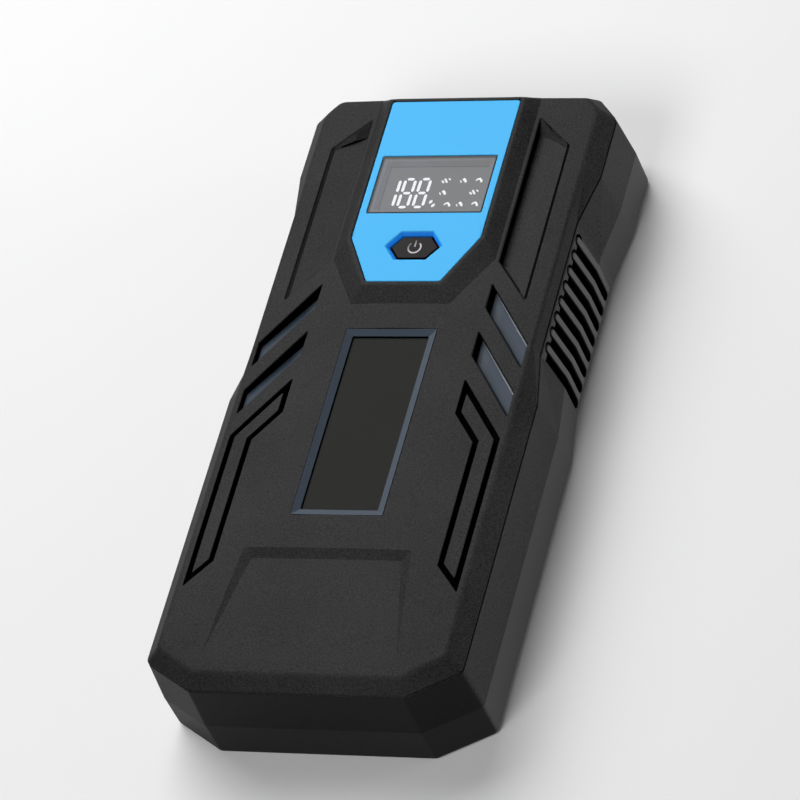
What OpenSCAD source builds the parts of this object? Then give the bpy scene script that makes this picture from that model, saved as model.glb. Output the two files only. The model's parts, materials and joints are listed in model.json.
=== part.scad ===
// Jump starter pack, lying on its back. X is across the case, Y runs along it
// towards the display end, Z points out of the front face. The origin is at
// the middle of the back face. All sizes are in millimetres.

/* [Case] */
// Length of the case at its widest line
case_len = 190.4; // [176:0.1:210]
// Width of the case at its widest line
case_w = 88.2; // [84:0.1:100]
// Height of the middle of the front face above the back
face_h = 33.2; // [32:0.1:38]
// Height of the line where the front and rear shells meet
part_h = 26.8; // [25.5:0.1:27.6]
// Height of the ridge that runs round the rear shell
ridge_h = 12.3; // [11:0.1:14]
// How far the ridge stands out past the shell line
ridge_out = 1.1; // [0.6:0.1:1.6]
// Thickness of the shell walls
wall = 2.2; // [1.8:0.1:2.4]
// Radius of the crown across the front face
crown_r = 317; // [280:1:600]
// Length of each lower corner cut across the case
low_cut_x = 13.7; // [8:0.1:15]
// Length of each lower corner cut along the case
low_cut_y = 7.9; // [5:0.1:9]
// Length of each upper corner cut across the case
top_cut_x = 6; // [3:0.1:7]
// Length of each upper corner cut along the case
top_cut_y = 6.5; // [3:0.1:8]
// Width of the bevel round the front face
bevel_w = 3.8; // [2.5:0.1:4.2]
// Width of the bevel at the display end
top_bevel_w = 2.2; // [1.8:0.1:2.4]
// Height of the bevel at the sides
bevel_h = 4; // [3:0.1:4.4]
// Height of the upright band under the bevel
band_h = 0.3; // [0.2:0.05:0.5]
// Gap of the groove between the shells
seam = 0.5; // [0.3:0.05:0.8]

/* [Waist] */
// Depth of the waist on each side
waist_in = 3; // [1.5:0.1:3.5]
// Middle of the waist along the case
waist_y = 32; // [28:0.5:34]
// Length of the straight part of the waist
waist_len = 43; // [40:0.5:46]
// Length of the slope at each end of the waist
waist_ramp = 15.2; // [10:0.1:16]
// Number of grip ribs on each side
rib_n = 8; // [4:1:9]
// Spacing of the grip ribs
rib_pitch = 4.98; // [4:0.02:5.2]
// Thickness of a grip rib
rib_t = 2.2; // [1.4:0.1:2.6]
// How far a rib stands out of the waist
rib_out = 1.1; // [0.8:0.1:2.4]
// Gap from the shell line to the front end of a rib
rib_drop = 1.4; // [1:0.1:4]

/* [Front face] */
// Slope of the lower end of the front face in degrees
end_slope = 3.7; // [2:0.1:4]
// Distance from the lower end at which the slope starts
end_slope_len = 48; // [40:0.5:52]
// Upper half width of the sunk trapezoid
trap_half = 23; // [15:0.1:26]
// Lower half width of the sunk trapezoid
trap_low_half = 27.5; // [20:0.1:29]
// Distance of the trapezoid's upper edge from the lower end
trap_len = 41; // [30:0.5:44]
// Depth of the trapezoid under its upper edge
trap_depth = 1.1; // [0.5:0.1:1.3]
// Slope of the trapezoid's floor in degrees
trap_slope = 1.6; // [1:0.1:1.9]
// Inner edge of the sunk side panels from the middle
side_in = 24; // [23.9:0.1:26]
// Outer edge of the sunk side panels from the middle
side_out = 33.8; // [31:0.1:34.4]
// Depth of the side panels at the inner edge
side_depth = 2.4; // [1.2:0.1:2.5]
// Depth of the side panels at the outer edge
side_edge = 0.5; // [0.3:0.1:0.8]
// Lower inner corner of the side panels along the case
side_low = 36.8; // [35:0.1:38]
// Length of the inner edge of the side panels
side_len = 47.6; // [40:0.1:48]
// Step along the case of a side panel's slanted ends
side_skew = 11.9; // [6:0.1:12.4]
// Step along the case of a side panel's upper end
side_top_skew = 9; // [5:0.1:9.4]
// Inner end of the slots from the middle
slot_in = 24.3; // [23.5:0.1:26]
// Outer end of the slots from the middle
slot_out = 37.5; // [34:0.1:37.6]
// Width of a slot along the case
slot_w = 7.4; // [5:0.1:7.8]
// How far a slot runs down the case
slot_skew = 17.5; // [14:0.1:18.5]
// Upper inner corner of the first slot along the case
slot_y = 28.8; // [27.5:0.1:29.2]
// Spacing of the two slots along the case
slot_pitch = 15.3; // [13:0.1:15.6]
// Depth of a slot down to its insert
slot_depth = 2; // [1.2:0.1:2.2]
// Thickness of the slot inserts and the nameplate
insert_t = 0.8; // [0.5:0.1:0.9]
// Width of the groove round each knee bar
groove_w = 1; // [0.6:0.05:1.2]
// Depth of the groove round each knee bar
groove_d = 1.4; // [0.8:0.1:1.6]
// Width of the long leg of a knee bar
knee_w = 6.2; // [4:0.1:7]
// Upper inner corner of a knee bar along the case
knee_y = -1.9; // [-4:0.1:-1.5]
// Width along the case of a knee bar's slanted leg
knee_arm = 9.5; // [7:0.1:10.5]
// Outer edge of the knee bars from the middle
knee_out = 37.2; // [34:0.1:37.4]
// Step along the case of a knee bar's slanted leg
knee_skew = 16.3; // [12:0.1:17]
// Length of the slanted end of a knee bar along the case
knee_tip = 6.7; // [4:0.1:8]
// Length of a knee bar along the case
knee_len = 62.3; // [45:0.1:63]

/* [Nameplate] */
// Width of the nameplate frame
name_w = 25.2; // [18:0.1:26]
// Length of the nameplate frame
name_len = 58.4; // [50:0.1:62]
// Middle of the nameplate along the case
name_y = -15; // [-16.5:0.1:-13]
// Width of the frame's slope
name_slope = 1.9; // [1:0.1:2.2]
// How far the plate lies below the frame's outer rim
name_sink = 1; // [0.6:0.1:1.2]

/* [Control panel] */
// Height of the plateau above the middle of the front face
plateau_up = 1.8; // [1.4:0.1:2.2]
// Half width of the plateau at its foot
plateau_half = 22.9; // [22.6:0.1:23.2]
// Half width of the plateau's lower end at its foot
plateau_low_half = 13.8; // [12:0.1:16]
// Lower end of the plateau along the case
plateau_y = 22.3; // [21.5:0.1:23]
// Length of the plateau's slanted lower sides along the case
plateau_cut = 15; // [12:0.1:15.2]
// Width of the slope at the plateau's sides
plateau_slope = 3.4; // [2.6:0.1:3.5]
// Width of the slope at the plateau's lower end
plateau_low_slope = 4.8; // [4:0.1:5.2]
// Width of the rim round the panel
rim_w = 1.2; // [0.9:0.1:1.4]
// Distance of the panel from the display end of the case
panel_end = 6.9; // [5.8:0.1:8]
// Thickness of the control panel
panel_t = 1.8; // [1.6:0.1:2]
// How far the panel lies below the plateau's rim
panel_sink = 0.15; // [0.05:0.05:0.3]
// Width of the display window
window_w = 32.5; // [24:0.1:33]
// Length of the display window along the case
window_len = 18.9; // [14:0.1:19.4]
// Width of the ledge under the window's edges
window_ledge = 2.2; // [1.5:0.1:2.6]
// Middle of the display window along the case
window_y = 60.3; // [59:0.1:61.5]
// Width of the power button across its points
button_w = 13.6; // [10:0.1:14.4]
// Width of the power button's straight edges
button_flat = 8; // [5:0.1:8.4]
// Length of the power button along the case
button_len = 7.2; // [5:0.1:7.6]
// Middle of the power button along the case
button_y = 40; // [39.6:0.1:40.8]
// How far the power button lies below the panel
button_sink = 0.95; // [0.8:0.05:1.05]
// Width of the funnel round the power button
funnel_w = 0.9; // [0.4:0.1:1]
// How far the power button travels
button_travel = 0.6; // [0.3:0.05:0.7]

/* [Battery] */
// Width of a cell
cell_w = 61; // [50:0.5:62]
// Thickness of a cell
cell_t = 7.2; // [6:0.1:7.3]
// Thickness of the foam between the cells
foam_t = 0.8; // [0.5:0.1:0.9]
// How far the foam stops short of the ends of the cells
foam_in = 8; // [2:0.5:20]
// Distance of the cells from the lower end of the case
cell_end = 11.2; // [10:0.1:13]
// Length of the cell tabs
tab_len = 5; // [3:0.1:6]
// Width of the cell tabs
tab_w = 9; // [6:0.1:12]
// Distance of the cell tabs from the middle of the case
tab_x = 17; // [12:0.1:20]
// Width of the foam pads
pad_w = 36; // [20:0.5:50]

/* [Boards] */
// Thickness of the circuit boards
board_t = 1.6; // [1:0.1:1.6]
// Width of the main board
main_w = 66; // [60:0.5:68]
// Length of the main board's wide part
main_len = 40; // [36:0.5:41]
// Distance of the main board's wide part from the display end of the case
main_end = 22; // [21.5:0.1:24]
// Gap between the battery and the main board
main_gap = 3; // [2:0.1:4]
// Height of the main board's posts above the floor
main_post_h = 5.8; // [5:0.1:6]
// Width of the display board
display_w = 38; // [36:0.5:39]
// Length of the display board
display_len = 42; // [40:0.5:43]
// Thickness of the display module
module_t = 3.95; // [3.5:0.05:4.2]
// Radius of the board posts
post_r = 2.4; // [2:0.1:2.8]
// Radius of the shank of the screws that hold the boards
small_r = 0.8; // [0.6:0.05:1]
// Length of the screws that hold the boards
small_len = 4; // [3:0.1:4.4]

/* [Output end] */
// Middle height of the sockets above the back
port_h = 12.3; // [12:0.1:12.8]
// Width of the port cover
cover_w = 49; // [48:0.5:50]
// Height of the port cover
cover_h = 16.2; // [15.4:0.1:16.4]
// Radius of the port cover's hinge pin
pin_r = 0.5; // [0.4:0.05:0.6]
// Radius of the port cover's knuckle
knuckle_r = 1.2; // [1.1:0.05:1.3]
// Distance of the hinge pin from the middle of the case
hinge_x = 34; // [33.5:0.1:34.2]
// Radius of a jump contact's bore
contact_r = 2.5; // [2:0.05:2.6]
// Spacing of the two jump contacts
contact_pitch = 10; // [9:0.1:10.2]
// Depth of a jump contact's bore
contact_depth = 14; // [10:0.1:15]
// Middle of the jump socket across the case
jump_x = -4; // [-5:0.1:-3.6]
// Radius of the torch lens
torch_r = 6.5; // [5:0.1:6.6]
// Middle of the torch across the case
torch_x = -26.6; // [-27:0.1:-26]
// Radius of a battery lead
lead_r = 2.4; // [1.5:0.1:2.6]

/* [Screws] */
// Radius of a case screw's shank
screw_r = 1.3; // [1:0.05:1.5]
// Radius of a case screw's head
screw_head_r = 2.5; // [2.2:0.05:2.7]
// Depth of a case screw's head below the back
screw_sink = 4; // [3:0.1:5]
// Distance of the case screws from the middle of the case
boss_x = 35.2; // [35:0.1:35.4]
// Height of the screw bosses above the back
boss_top = 14; // [13:0.1:15]
// Radius of the screw bosses
boss_r = 3.1; // [2.9:0.05:3.3]
// How far a case screw reaches into the front shell
screw_bite = 9; // [6:0.1:11]

/* [Clearances] */
// Clearance between a piece and the opening that it lies in
fit = 0.1; // [0.05:0.01:0.15]
// Clearance round a piece that moves
play = 0.25; // [0.2:0.01:0.3]
// Clearance of the hinge pin in its knuckle
pin_play = 0.06; // [0.04:0.01:0.08]

/* [Hidden] */

// A hair's breadth by which a cutter passes a face
eps = 0.05;
// Distance by which a solid is made too long before it is cut to its height
spare = 1;
// Facets of the small round parts
$fn = 48;
// Facets of the wide crown
crown_fn = 360;

// Half width and half length of the outline at the shell line
half_w = case_w / 2 - ridge_out;
half_len = case_len / 2 - ridge_out;

// Heights in the plateau, from the top down
plateau_h = face_h + plateau_up;
panel_top = plateau_h - panel_sink;
panel_seat = panel_top - panel_t;
window_t = panel_t - 0.1;
inner_h = face_h - wall;
display_top = panel_seat - fit - module_t;
button_top = panel_top - button_sink;
flange_top = panel_seat - play;
flange_t = 0.8;
flange_w = 1;

// Height of the crown at a distance from the middle
function crown_at(x, lower = 0) =
    face_h - lower - crown_r + sqrt(crown_r * crown_r - x * x);

// Right side of the outline, from the lower end to the display end
function right_side(hw, lo, hi, dent) = [
    [hw - low_cut_x, -lo],
    [hw, -lo + low_cut_y],
    [hw, waist_y - waist_len / 2 - waist_ramp],
    [hw - dent, waist_y - waist_len / 2],
    [hw - dent, waist_y + waist_len / 2],
    [hw, waist_y + waist_len / 2 + waist_ramp],
    [hw, hi - top_cut_y],
    [hw - top_cut_x, hi]
];
function mirrored(pts) = [for (i = [len(pts) - 1 : -1 : 0]) [-pts[i][0], pts[i][1]]];
function outline(hw, lo, hi, dent) =
    let (r = right_side(hw, lo, hi, dent)) concat(r, mirrored(r));

// Moves every edge of a closed outline outwards by d
function unit(v) = v / norm(v);
function edge_normal(a, b) = let (e = unit(b - a)) [e[1], -e[0]];
function grown(pts, d) = [
    for (i = [0 : len(pts) - 1])
        let (n = len(pts), p = pts[i],
             n1 = edge_normal(pts[(i + n - 1) % n], p),
             n2 = edge_normal(p, pts[(i + 1) % n]))
            p + d * (n1 + n2) / (1 + n1 * n2)
];
function at_height(pts, h) = [for (p = pts) [p[0], p[1], h]];

// Solid through closed rings of equal length, from the lowest up. Where an
// edge turns between two rings, its side is two triangles.
module loft(rings, turns = false) {
    n = len(rings[0]);
    last = (len(rings) - 1) * n;
    sides = [
        for (k = [0 : len(rings) - 2], i = [0 : n - 1])
            let (a = k * n + i, b = k * n + (i + 1) % n)
                for (t = turns ? [[a, b + n, b], [a, a + n, b + n]] : [[a, a + n, b + n, b]]) t
    ];
    polyhedron(
        points = [for (r = rings, p = r) p],
        faces = concat([[for (i = [0 : n - 1]) i]], sides,
                       [[for (i = [n - 1 : -1 : 0]) last + i]]));
}

// Outline of the rear shell at any height, grown by d
function rear_ring(h, d) = let (
    base = outline(half_w, half_len, half_len, waist_in),
    lean = h <= ridge_h ? 1 : (part_h - h) / (part_h - ridge_h))
    at_height(grown(base, d + ridge_out * lean), h);

// Keeps what lies between two heights
module slab(h0, h1) {
    intersection() {
        children();
        translate([-case_w, -case_len, h0]) cube([2 * case_w, 2 * case_len, h1 - h0]);
    }
}

// Outline of the front shell: an upright band, then the bevel, where the waist
// runs out towards the upper edge
band_top = part_h + band_h;
bevel_top = part_h + bevel_h;
bevel_run = bevel_w / (bevel_h - band_h);
top_bevel_run = top_bevel_w / (bevel_h - band_h);
function front_ring(h, d) =
    let (up = max(h - band_top, 0),
         inset = up * bevel_run,
         top = half_len + up * (bevel_run - top_bevel_run),
         whole = outline(half_w, half_len, top, 0),
         dented = outline(half_w, half_len, top, waist_in))
        at_height(up > 0 ? grown(whole, d - inset) : grown(dented, d), h);

module crown_solid(lower) {
    translate([0, 0, face_h - crown_r])
        rotate([90, 0, 0])
            cylinder(r = crown_r - lower, h = 2 * case_len, center = true, $fn = crown_fn);
}

// Everything below a plane that tilts down towards the lower end
module below_plane(y0, h, slope, lower = 0) {
    translate([0, y0, h - lower])
        rotate([slope, 0, 0])
            translate([-case_w, -2 * case_len, -3 * face_h])
                cube([2 * case_w, 3 * case_len, 3 * face_h]);
}

module mirror_pair() {
    children();
    mirror([1, 0, 0]) children();
}

// ---- outlines on the front face, right side ----
low_end = -half_len - ridge_out;
top_end = half_len + ridge_out;
trap_y = low_end + trap_len;
trap_pts = [
    [-trap_half, trap_y], [trap_half, trap_y],
    [trap_low_half, low_end], [-trap_low_half, low_end]
];
side_pts = [
    [side_in, side_low],
    [side_in, side_low + side_len],
    [side_out, side_low + side_len - side_top_skew],
    [side_out, side_low - side_skew]
];
function slot_pts(y) = [
    [slot_in, y], [slot_out, y - slot_skew],
    [slot_out, y - slot_skew - slot_w], [slot_in, y - slot_w]
];
knee_fall = knee_skew / (knee_out - slot_in);
knee_in = knee_out - knee_w;
knee_pts = [
    [slot_in, knee_y],
    [knee_out, knee_y - knee_skew],
    [knee_out, knee_y - knee_len],
    [knee_in, knee_y - knee_len + knee_tip],
    [knee_in, knee_y - knee_arm - knee_fall * (knee_in - slot_in)],
    [slot_in, knee_y - knee_arm]
];
slots = [slot_y, slot_y - slot_pitch];

// ---- outline of the panel and its plateau ----
function panel_outline(half, low_half, y0, cut, y1) = [
    [-low_half, y0], [low_half, y0], [half, y0 + cut],
    [half, y1], [-half, y1], [-half, y0 + cut]
];
foot_pts = panel_outline(plateau_half, plateau_low_half, plateau_y, plateau_cut,
                         top_end);
rim_half = plateau_half - plateau_slope;
// How much less the low corners of the rim and the panel draw in than the sides
low_corner = 0.6;
rim_low_half = plateau_low_half - plateau_slope + low_corner;
rim_y = plateau_y + plateau_low_slope;
rim_pts = panel_outline(rim_half, rim_low_half, rim_y, plateau_cut, top_end);
panel_half = rim_half - rim_w;
panel_low_half = rim_low_half - rim_w + low_corner;
panel_y = rim_y + rim_w;
panel_far = top_end - panel_end;
panel_pts = panel_outline(panel_half, panel_low_half, panel_y, plateau_cut - low_corner,
                          panel_far);

// Six-sided outline with points to the left and right
function hex_pts(w, flat, l) = [
    [-flat / 2, -l / 2], [flat / 2, -l / 2], [w / 2, 0],
    [flat / 2, l / 2], [-flat / 2, l / 2], [-w / 2, 0]
];
button_pts = hex_pts(button_w, button_flat, button_len);

module at_button(h) {
    translate([0, button_y, h]) children();
}

// ---- inside ----
// Number of cells in the stack, one node each
cell_n = 3;
floor_h = wall;
pack_t = 1.2;
main_z = floor_h + main_post_h;
main_top = main_z + board_t;
main_y1 = top_end - main_end;
main_y0 = main_y1 - main_len;
// The cells fill the length between the lower end and the main board
pack_front = main_y0 - main_gap;
tab_end = pack_front - pack_t;
cell_y0 = low_end + cell_end;
cell_y1 = tab_end - tab_len;
stack_h = floor_h + foam_t;
cell_step = cell_t + foam_t;
stack_top = stack_h + cell_n * cell_step;
// Distance of the boards' screws from the edges of the boards
main_hole_in = 4;
main_posts = [
    for (x = [-1, 1], y = [main_y0 + main_hole_in, main_y1 - main_hole_in])
        [x * (main_w / 2 - main_hole_in), y]
];
display_hole_in = 3.5;
// The display board reaches from the window to below the button
display_drop = 6;
display_y = window_y - display_drop;
display_posts = [
    for (x = [-1, 1], y = [-1, 1])
        [x * (display_w / 2 - display_hole_in),
         display_y + y * (display_len / 2 - display_hole_in)]
];
// The screw bosses stand near both ends and below the waist
boss_low = 17.5;
boss_mid = 9;
boss_high = 15;
boss_y = [low_end + boss_low, waist_y - waist_len / 2 - waist_ramp - boss_mid,
          top_end - boss_high];
boss_spots = [for (x = [-1, 1], y = boss_y) [x * boss_x, y]];

// ---- output end ----
pin_y = top_end - knuckle_r - 0.35;
recess_y = pin_y - knuckle_r - 0.3;
cover_in = pin_y - knuckle_r;
cover_z0 = port_h - cover_h / 2;
cover_z1 = port_h + cover_h / 2;
cover_x1 = hinge_x;
cover_x0 = hinge_x - cover_w;
hinge_room = 2.55;
end_wall = 2;
jump_side = 5;
jump_w = contact_pitch + 2 * jump_side;
jump_hgt = 12;
jump_len = 14;
contact_wall = 0.7;
contact_out = contact_r + contact_wall;
contact_gap = 0.03;
usb_a = [14.4, 14, 6.2];
// Gap between neighbouring sockets
port_gap = 1;
usb_a_x = jump_x + jump_w / 2 + port_gap + usb_a[0] / 2;
usb_c = [9, 8, 3.2];
usb_c_x = usb_a_x + usb_a[0] / 2 + port_gap + usb_c[0] / 2;
tongue_x0 = usb_a_x - usb_a[0] / 2;
tongue_x1 = usb_c_x + usb_c[0] / 2;
lens_t = 1.6;
lens_y = top_end - 1.2;
lens_seat = lens_y - lens_t;
torch_seat = 1;
torch_mouth_y = lens_seat - torch_seat;
reflector_len = 7;
torch_board_y = torch_mouth_y - reflector_len;
chip_t = 0.6;

// ================= shells =================

// Everything inside the bevel's planes, from the shell line up
module bevel_solid() {
    slab(part_h, plateau_h)
        loft([front_ring(part_h - spare, 0), front_ring(band_top, 0),
              front_ring(bevel_top, 0), front_ring(plateau_h + spare, 0)], true);
}

module front_outer() {
    intersection() {
        bevel_solid();
        crown_solid(0);
        below_plane(low_end + end_slope_len, face_h, end_slope);
    }
}

module plateau() {
    intersection() {
        hull() {
            translate([0, 0, inner_h]) linear_extrude(face_h - inner_h - 0.6)
                polygon(foot_pts);
            translate([0, 0, plateau_h - eps]) linear_extrude(eps) polygon(rim_pts);
        }
        bevel_solid();
    }
}

// Space inside the front shell, before its backings
module front_space() {
    intersection() {
        loft([front_ring(part_h - spare, -wall), front_ring(band_top, -wall),
              front_ring(bevel_top, -wall), front_ring(face_h + spare, -wall)], true);
        crown_solid(wall);
        below_plane(low_end + end_slope_len, face_h, end_slope, wall);
    }
}

module column(pts, h0, h1) {
    translate([0, 0, h0]) linear_extrude(h1 - h0) polygon(pts);
}

// The tilted floor of a side panel cuts away what lies above it
side_fall = crown_at(side_out) - side_edge - (crown_at(side_in) - side_depth);
side_tilt = atan(side_fall / (side_out - side_in));
module side_panel_cut(lower, grow) {
    intersection() {
        column(grown_cw(side_pts, grow), part_h - 1, plateau_h + 1);
        translate([side_in, 0, crown_at(side_in) - side_depth - lower])
            rotate([0, -side_tilt, 0])
                translate([-4 * wall, -case_len, 0])
                    cube([case_w, 2 * case_len, face_h]);
    }
}
// The outlines of the cuts run clockwise, so they grow the other way
function grown_cw(pts, d) = grown(pts, -d);

backing_t = 1.2;
slot_floor = crown_at(slot_out) - slot_depth - insert_t;
groove_floor = crown_at(slot_out) - groove_d;
name_seat = crown_at(name_w / 2) - name_sink - insert_t;
name_rim = crown_at(name_w / 2);
name_box = [
    [-name_w / 2, name_y - name_len / 2], [-name_w / 2, name_y + name_len / 2],
    [name_w / 2, name_y + name_len / 2], [name_w / 2, name_y - name_len / 2]
];

// Material left under the deep cuts
module backings() {
    mirror_pair() {
        intersection() {
            column(grown_cw(side_pts, backing_t), crown_at(side_in) - side_depth - backing_t,
                   face_h);
            front_outer();
        }
        for (y = slots)
            column(grown_cw(slot_pts(y), backing_t), slot_floor - backing_t, inner_h);
        column(grown_cw(knee_pts, backing_t), groove_floor - backing_t, inner_h);
    }
    column(grown_cw(name_box, backing_t), name_seat - backing_t, face_h - 1);
    column(grown_cw(trap_pts, backing_t), face_h - wall - trap_depth - backing_t, inner_h);
}

module trapezoid_cut() {
    difference() {
        column(trap_pts, part_h, plateau_h + 1);
        below_plane(trap_y, crown_at(trap_half) - trap_depth, trap_slope);
    }
}

module knee_groove() {
    difference() {
        column(grown_cw(knee_pts, groove_w / 2), groove_floor, plateau_h);
        column(grown_cw(knee_pts, -groove_w / 2), groove_floor - 1, plateau_h + 1);
    }
}

module window_hole() {
    translate([0, window_y, 0])
        column(rect_pts(window_w - 2 * window_ledge, window_len - 2 * window_ledge), part_h,
               plateau_h);
}

// How deep the foot of a post stands in the wall
post_root = 0.6;
boss_end = crown_at(boss_x) - wall + post_root;
module front_posts() {
    for (p = display_posts)
        translate([p[0], p[1], display_top])
            cylinder(r = post_r, h = inner_h + post_root - display_top);
    for (p = boss_spots)
        translate([p[0], p[1], boss_top + fit])
            cylinder(r = boss_r, h = boss_end - boss_top - fit);
}

// Depth of a screw's hole past the end of the screw
tip_room = 0.4;
thread_gap = 0.02;
module front_bores() {
    for (p = display_posts)
        translate([p[0], p[1], display_top - eps])
            cylinder(r = small_r + thread_gap, h = small_len - board_t + tip_room + eps);
    for (p = boss_spots)
        translate([p[0], p[1], boss_top]) cylinder(r = screw_r, h = screw_bite + tip_room);
}

// The front shell: face, bevel, plateau and everything sunk into them
module front_shell() {
    color("#3a3a3c")
    difference() {
        union() {
            difference() {
                union() {
                    front_outer();
                    plateau();
                }
                difference() {
                    front_space();
                    backings();
                }
            }
            intersection() {
                front_posts();
                union() {
                    front_outer();
                    column(rect_pts(case_w, case_len), 0, part_h + eps);
                }
            }
        }
        trapezoid_cut();
        mirror_pair() {
            side_panel_cut(0, 0);
            for (y = slots) column(slot_pts(y), slot_floor, plateau_h);
            knee_groove();
        }
        column(grown_cw(name_box, fit), name_seat, plateau_h);
        column(grown(panel_pts, fit), panel_seat, plateau_h + 1);
        window_hole();
        at_button(part_h)
            column(grown(button_pts, flange_w + play), 0, plateau_h);
        front_bores();
        // The lip of the rear shell stands in here
        lip_room();
    }
}

function rect_pts(w, l) = [[-w / 2, -l / 2], [w / 2, -l / 2], [w / 2, l / 2], [-w / 2, l / 2]];

// The rear shell's lip reaches up into the front shell
lip_h = 1.2;
lip_t = 1.1;
lip_out = wall + fit;
function flat_ring(d) = [for (p = rear_ring(part_h, -d)) [p[0], p[1]]];
module lip_room() {
    flat_band(lip_out - fit, lip_out + lip_t + 1, part_h - eps, part_h + lip_h + fit);
}

module rear_outer() {
    slab(0, part_h - seam)
        loft([rear_ring(-spare, 0), rear_ring(ridge_h, 0), rear_ring(part_h, 0)]);
}

module rear_space() {
    slab(floor_h, part_h)
        loft([rear_ring(floor_h - spare, -wall), rear_ring(ridge_h, -wall),
              rear_ring(part_h + spare, -wall)]);
}

module flat_band(d0, d1, h0, h1) {
    translate([0, 0, h0])
        linear_extrude(h1 - h0)
            difference() {
                polygon(flat_ring(d0));
                polygon(flat_ring(d1));
            }
}
// The lip's foot is in the wall, and its upper part steps in to clear the front shell
module lip() {
    lip_foot = 3;
    flat_band(wall - 0.6, lip_out + lip_t, part_h - seam - lip_foot, part_h - seam - 0.3);
    flat_band(lip_out, lip_out + lip_t, part_h - seam - 0.4, part_h + lip_h);
}

// One grip rib, flat in the XZ plane, that follows the side of the waist
module rib() {
    side_x = half_w - waist_in;
    top = part_h - rib_drop;
    lean = ridge_out / (part_h - ridge_h);
    translate([0, rib_t / 2, 0])
        rotate([90, 0, 0])
            linear_extrude(rib_t)
                polygon([
                    [side_x - 1, top], [side_x + lean * rib_drop + rib_out * 0.6, top],
                    [side_x + lean * rib_drop + rib_out, top - rib_out * 0.5],
                    [side_x + ridge_out + rib_out, ridge_h],
                    [side_x + ridge_out + rib_out, 1], [side_x, 1]
                ]);
}

// Offset of the row of ribs from the middle of the waist
rib_shift = 0.2;
module ribs() {
    mirror_pair()
        for (i = [0 : rib_n - 1])
            translate([0, waist_y + rib_shift + (i - (rib_n - 1) / 2) * rib_pitch, 0]) rib();
}

module rear_posts() {
    for (p = boss_spots)
        translate([p[0], p[1], eps]) cylinder(r = boss_r, h = boss_top - eps);
    for (p = main_posts)
        translate([p[0], p[1], eps]) cylinder(r = post_r, h = main_z - eps);
}

module rear_bores() {
    for (p = boss_spots)
        translate([p[0], p[1], -eps]) {
            cylinder(r = screw_r + fit, h = boss_top + 1);
            cylinder(r = screw_head_r + fit, h = screw_sink + eps);
        }
    for (p = main_posts)
        translate([p[0], p[1], main_top - small_len - tip_room])
            cylinder(r = small_r + thread_gap, h = small_len + tip_room);
}

// Thicker end wall behind the port cover and round the torch
module end_backing() {
    intersection() {
        union() {
            translate([cover_x0 - 2, recess_y - end_wall, floor_h - 1])
                cube([hinge_x + 3.4 - cover_x0, end_wall + 3, cover_z1 + 1]);
            translate([torch_x, torch_mouth_y, port_h])
                rotate([-90, 0, 0]) cylinder(r = torch_r + 1.6, h = 3);
        }
        rear_outer();
    }
}

module box_between(x0, x1, y0, y1, z0, z1) {
    translate([x0, y0, z0]) cube([x1 - x0, y1 - y0, z1 - z0]);
}

// Recess of the port cover, with room for the hinge
module cover_recess() {
    box_between(cover_x0 - play, cover_x1, recess_y, top_end + 1, cover_z0 - play,
                cover_z1 + play);
    box_between(cover_x1 - eps, cover_x1 + hinge_room, recess_y, top_end + 1,
                cover_z0 - play, cover_z1 + play);
}

pin_reach = 1.4;
module pin_holes() {
    translate([hinge_x, pin_y, cover_z0 - play - pin_reach])
        cylinder(r = pin_r + 0.02, h = cover_h + 2 * play + 2 * pin_reach);
}

module port_holes() {
    box_between(jump_x - jump_w / 2 - fit, jump_x + jump_w / 2 + fit, recess_y - 4,
                recess_y + 1, port_h - jump_hgt / 2 - fit, port_h + jump_hgt / 2 + fit);
    box_between(usb_a_x - usb_a[0] / 2 - fit, usb_a_x + usb_a[0] / 2 + fit, recess_y - 4,
                recess_y + 1, main_top - fit, main_top + usb_a[2] + fit);
    box_between(usb_c_x - usb_c[0] / 2 - fit, usb_c_x + usb_c[0] / 2 + fit, recess_y - 4,
                recess_y + 1, main_top - fit, main_top + usb_c[2] + fit);
}

module torch_holes() {
    translate([torch_x, lens_seat, port_h])
        rotate([-90, 0, 0]) cylinder(r = torch_r + fit, h = 6);
    translate([torch_x, torch_mouth_y - 3, port_h])
        rotate([-90, 0, 0]) cylinder(r = torch_r - torch_seat, h = 6);
}

// The rear shell: tub, grip ribs, screw bosses and the output end
module rear_shell() {
    color("#37373a")
    difference() {
        union() {
            difference() {
                union() {
                    rear_outer();
                    ribs();
                }
                rear_space();
            }
            lip();
            rear_posts();
            end_backing();
        }
        rear_bores();
        cover_recess();
        pin_holes();
        port_holes();
        torch_holes();
    }
}

// ================= panel and button =================

// Blue inlay with the window hole and the funnel of the button
module control_panel() {
    color("#5cbeff")
    difference() {
        column(panel_pts, panel_seat, panel_top);
        translate([0, window_y, 0])
            column(rect_pts(window_w + 2 * fit, window_len + 2 * fit), part_h, plateau_h + 1);
        at_button(0) column(grown(button_pts, play), part_h, plateau_h + 1);
        at_button(0)
            hull() {
                column(grown(button_pts, play), button_top - 0.1, button_top - 0.05);
                column(grown(button_pts, play + funnel_w), panel_top, panel_top + 0.05);
            }
    }
}

module display_window() {
    color("#87878a")
    translate([0, window_y, 0])
        column(rect_pts(window_w, window_len), panel_seat, panel_seat + window_t);
}

module display_module() {
    color("#202022")
    translate([0, window_y, 0])
        column(grown(rect_pts(window_w - 2 * window_ledge, window_len - 2 * window_ledge), -fit),
               display_top, display_top + module_t);
}

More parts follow.
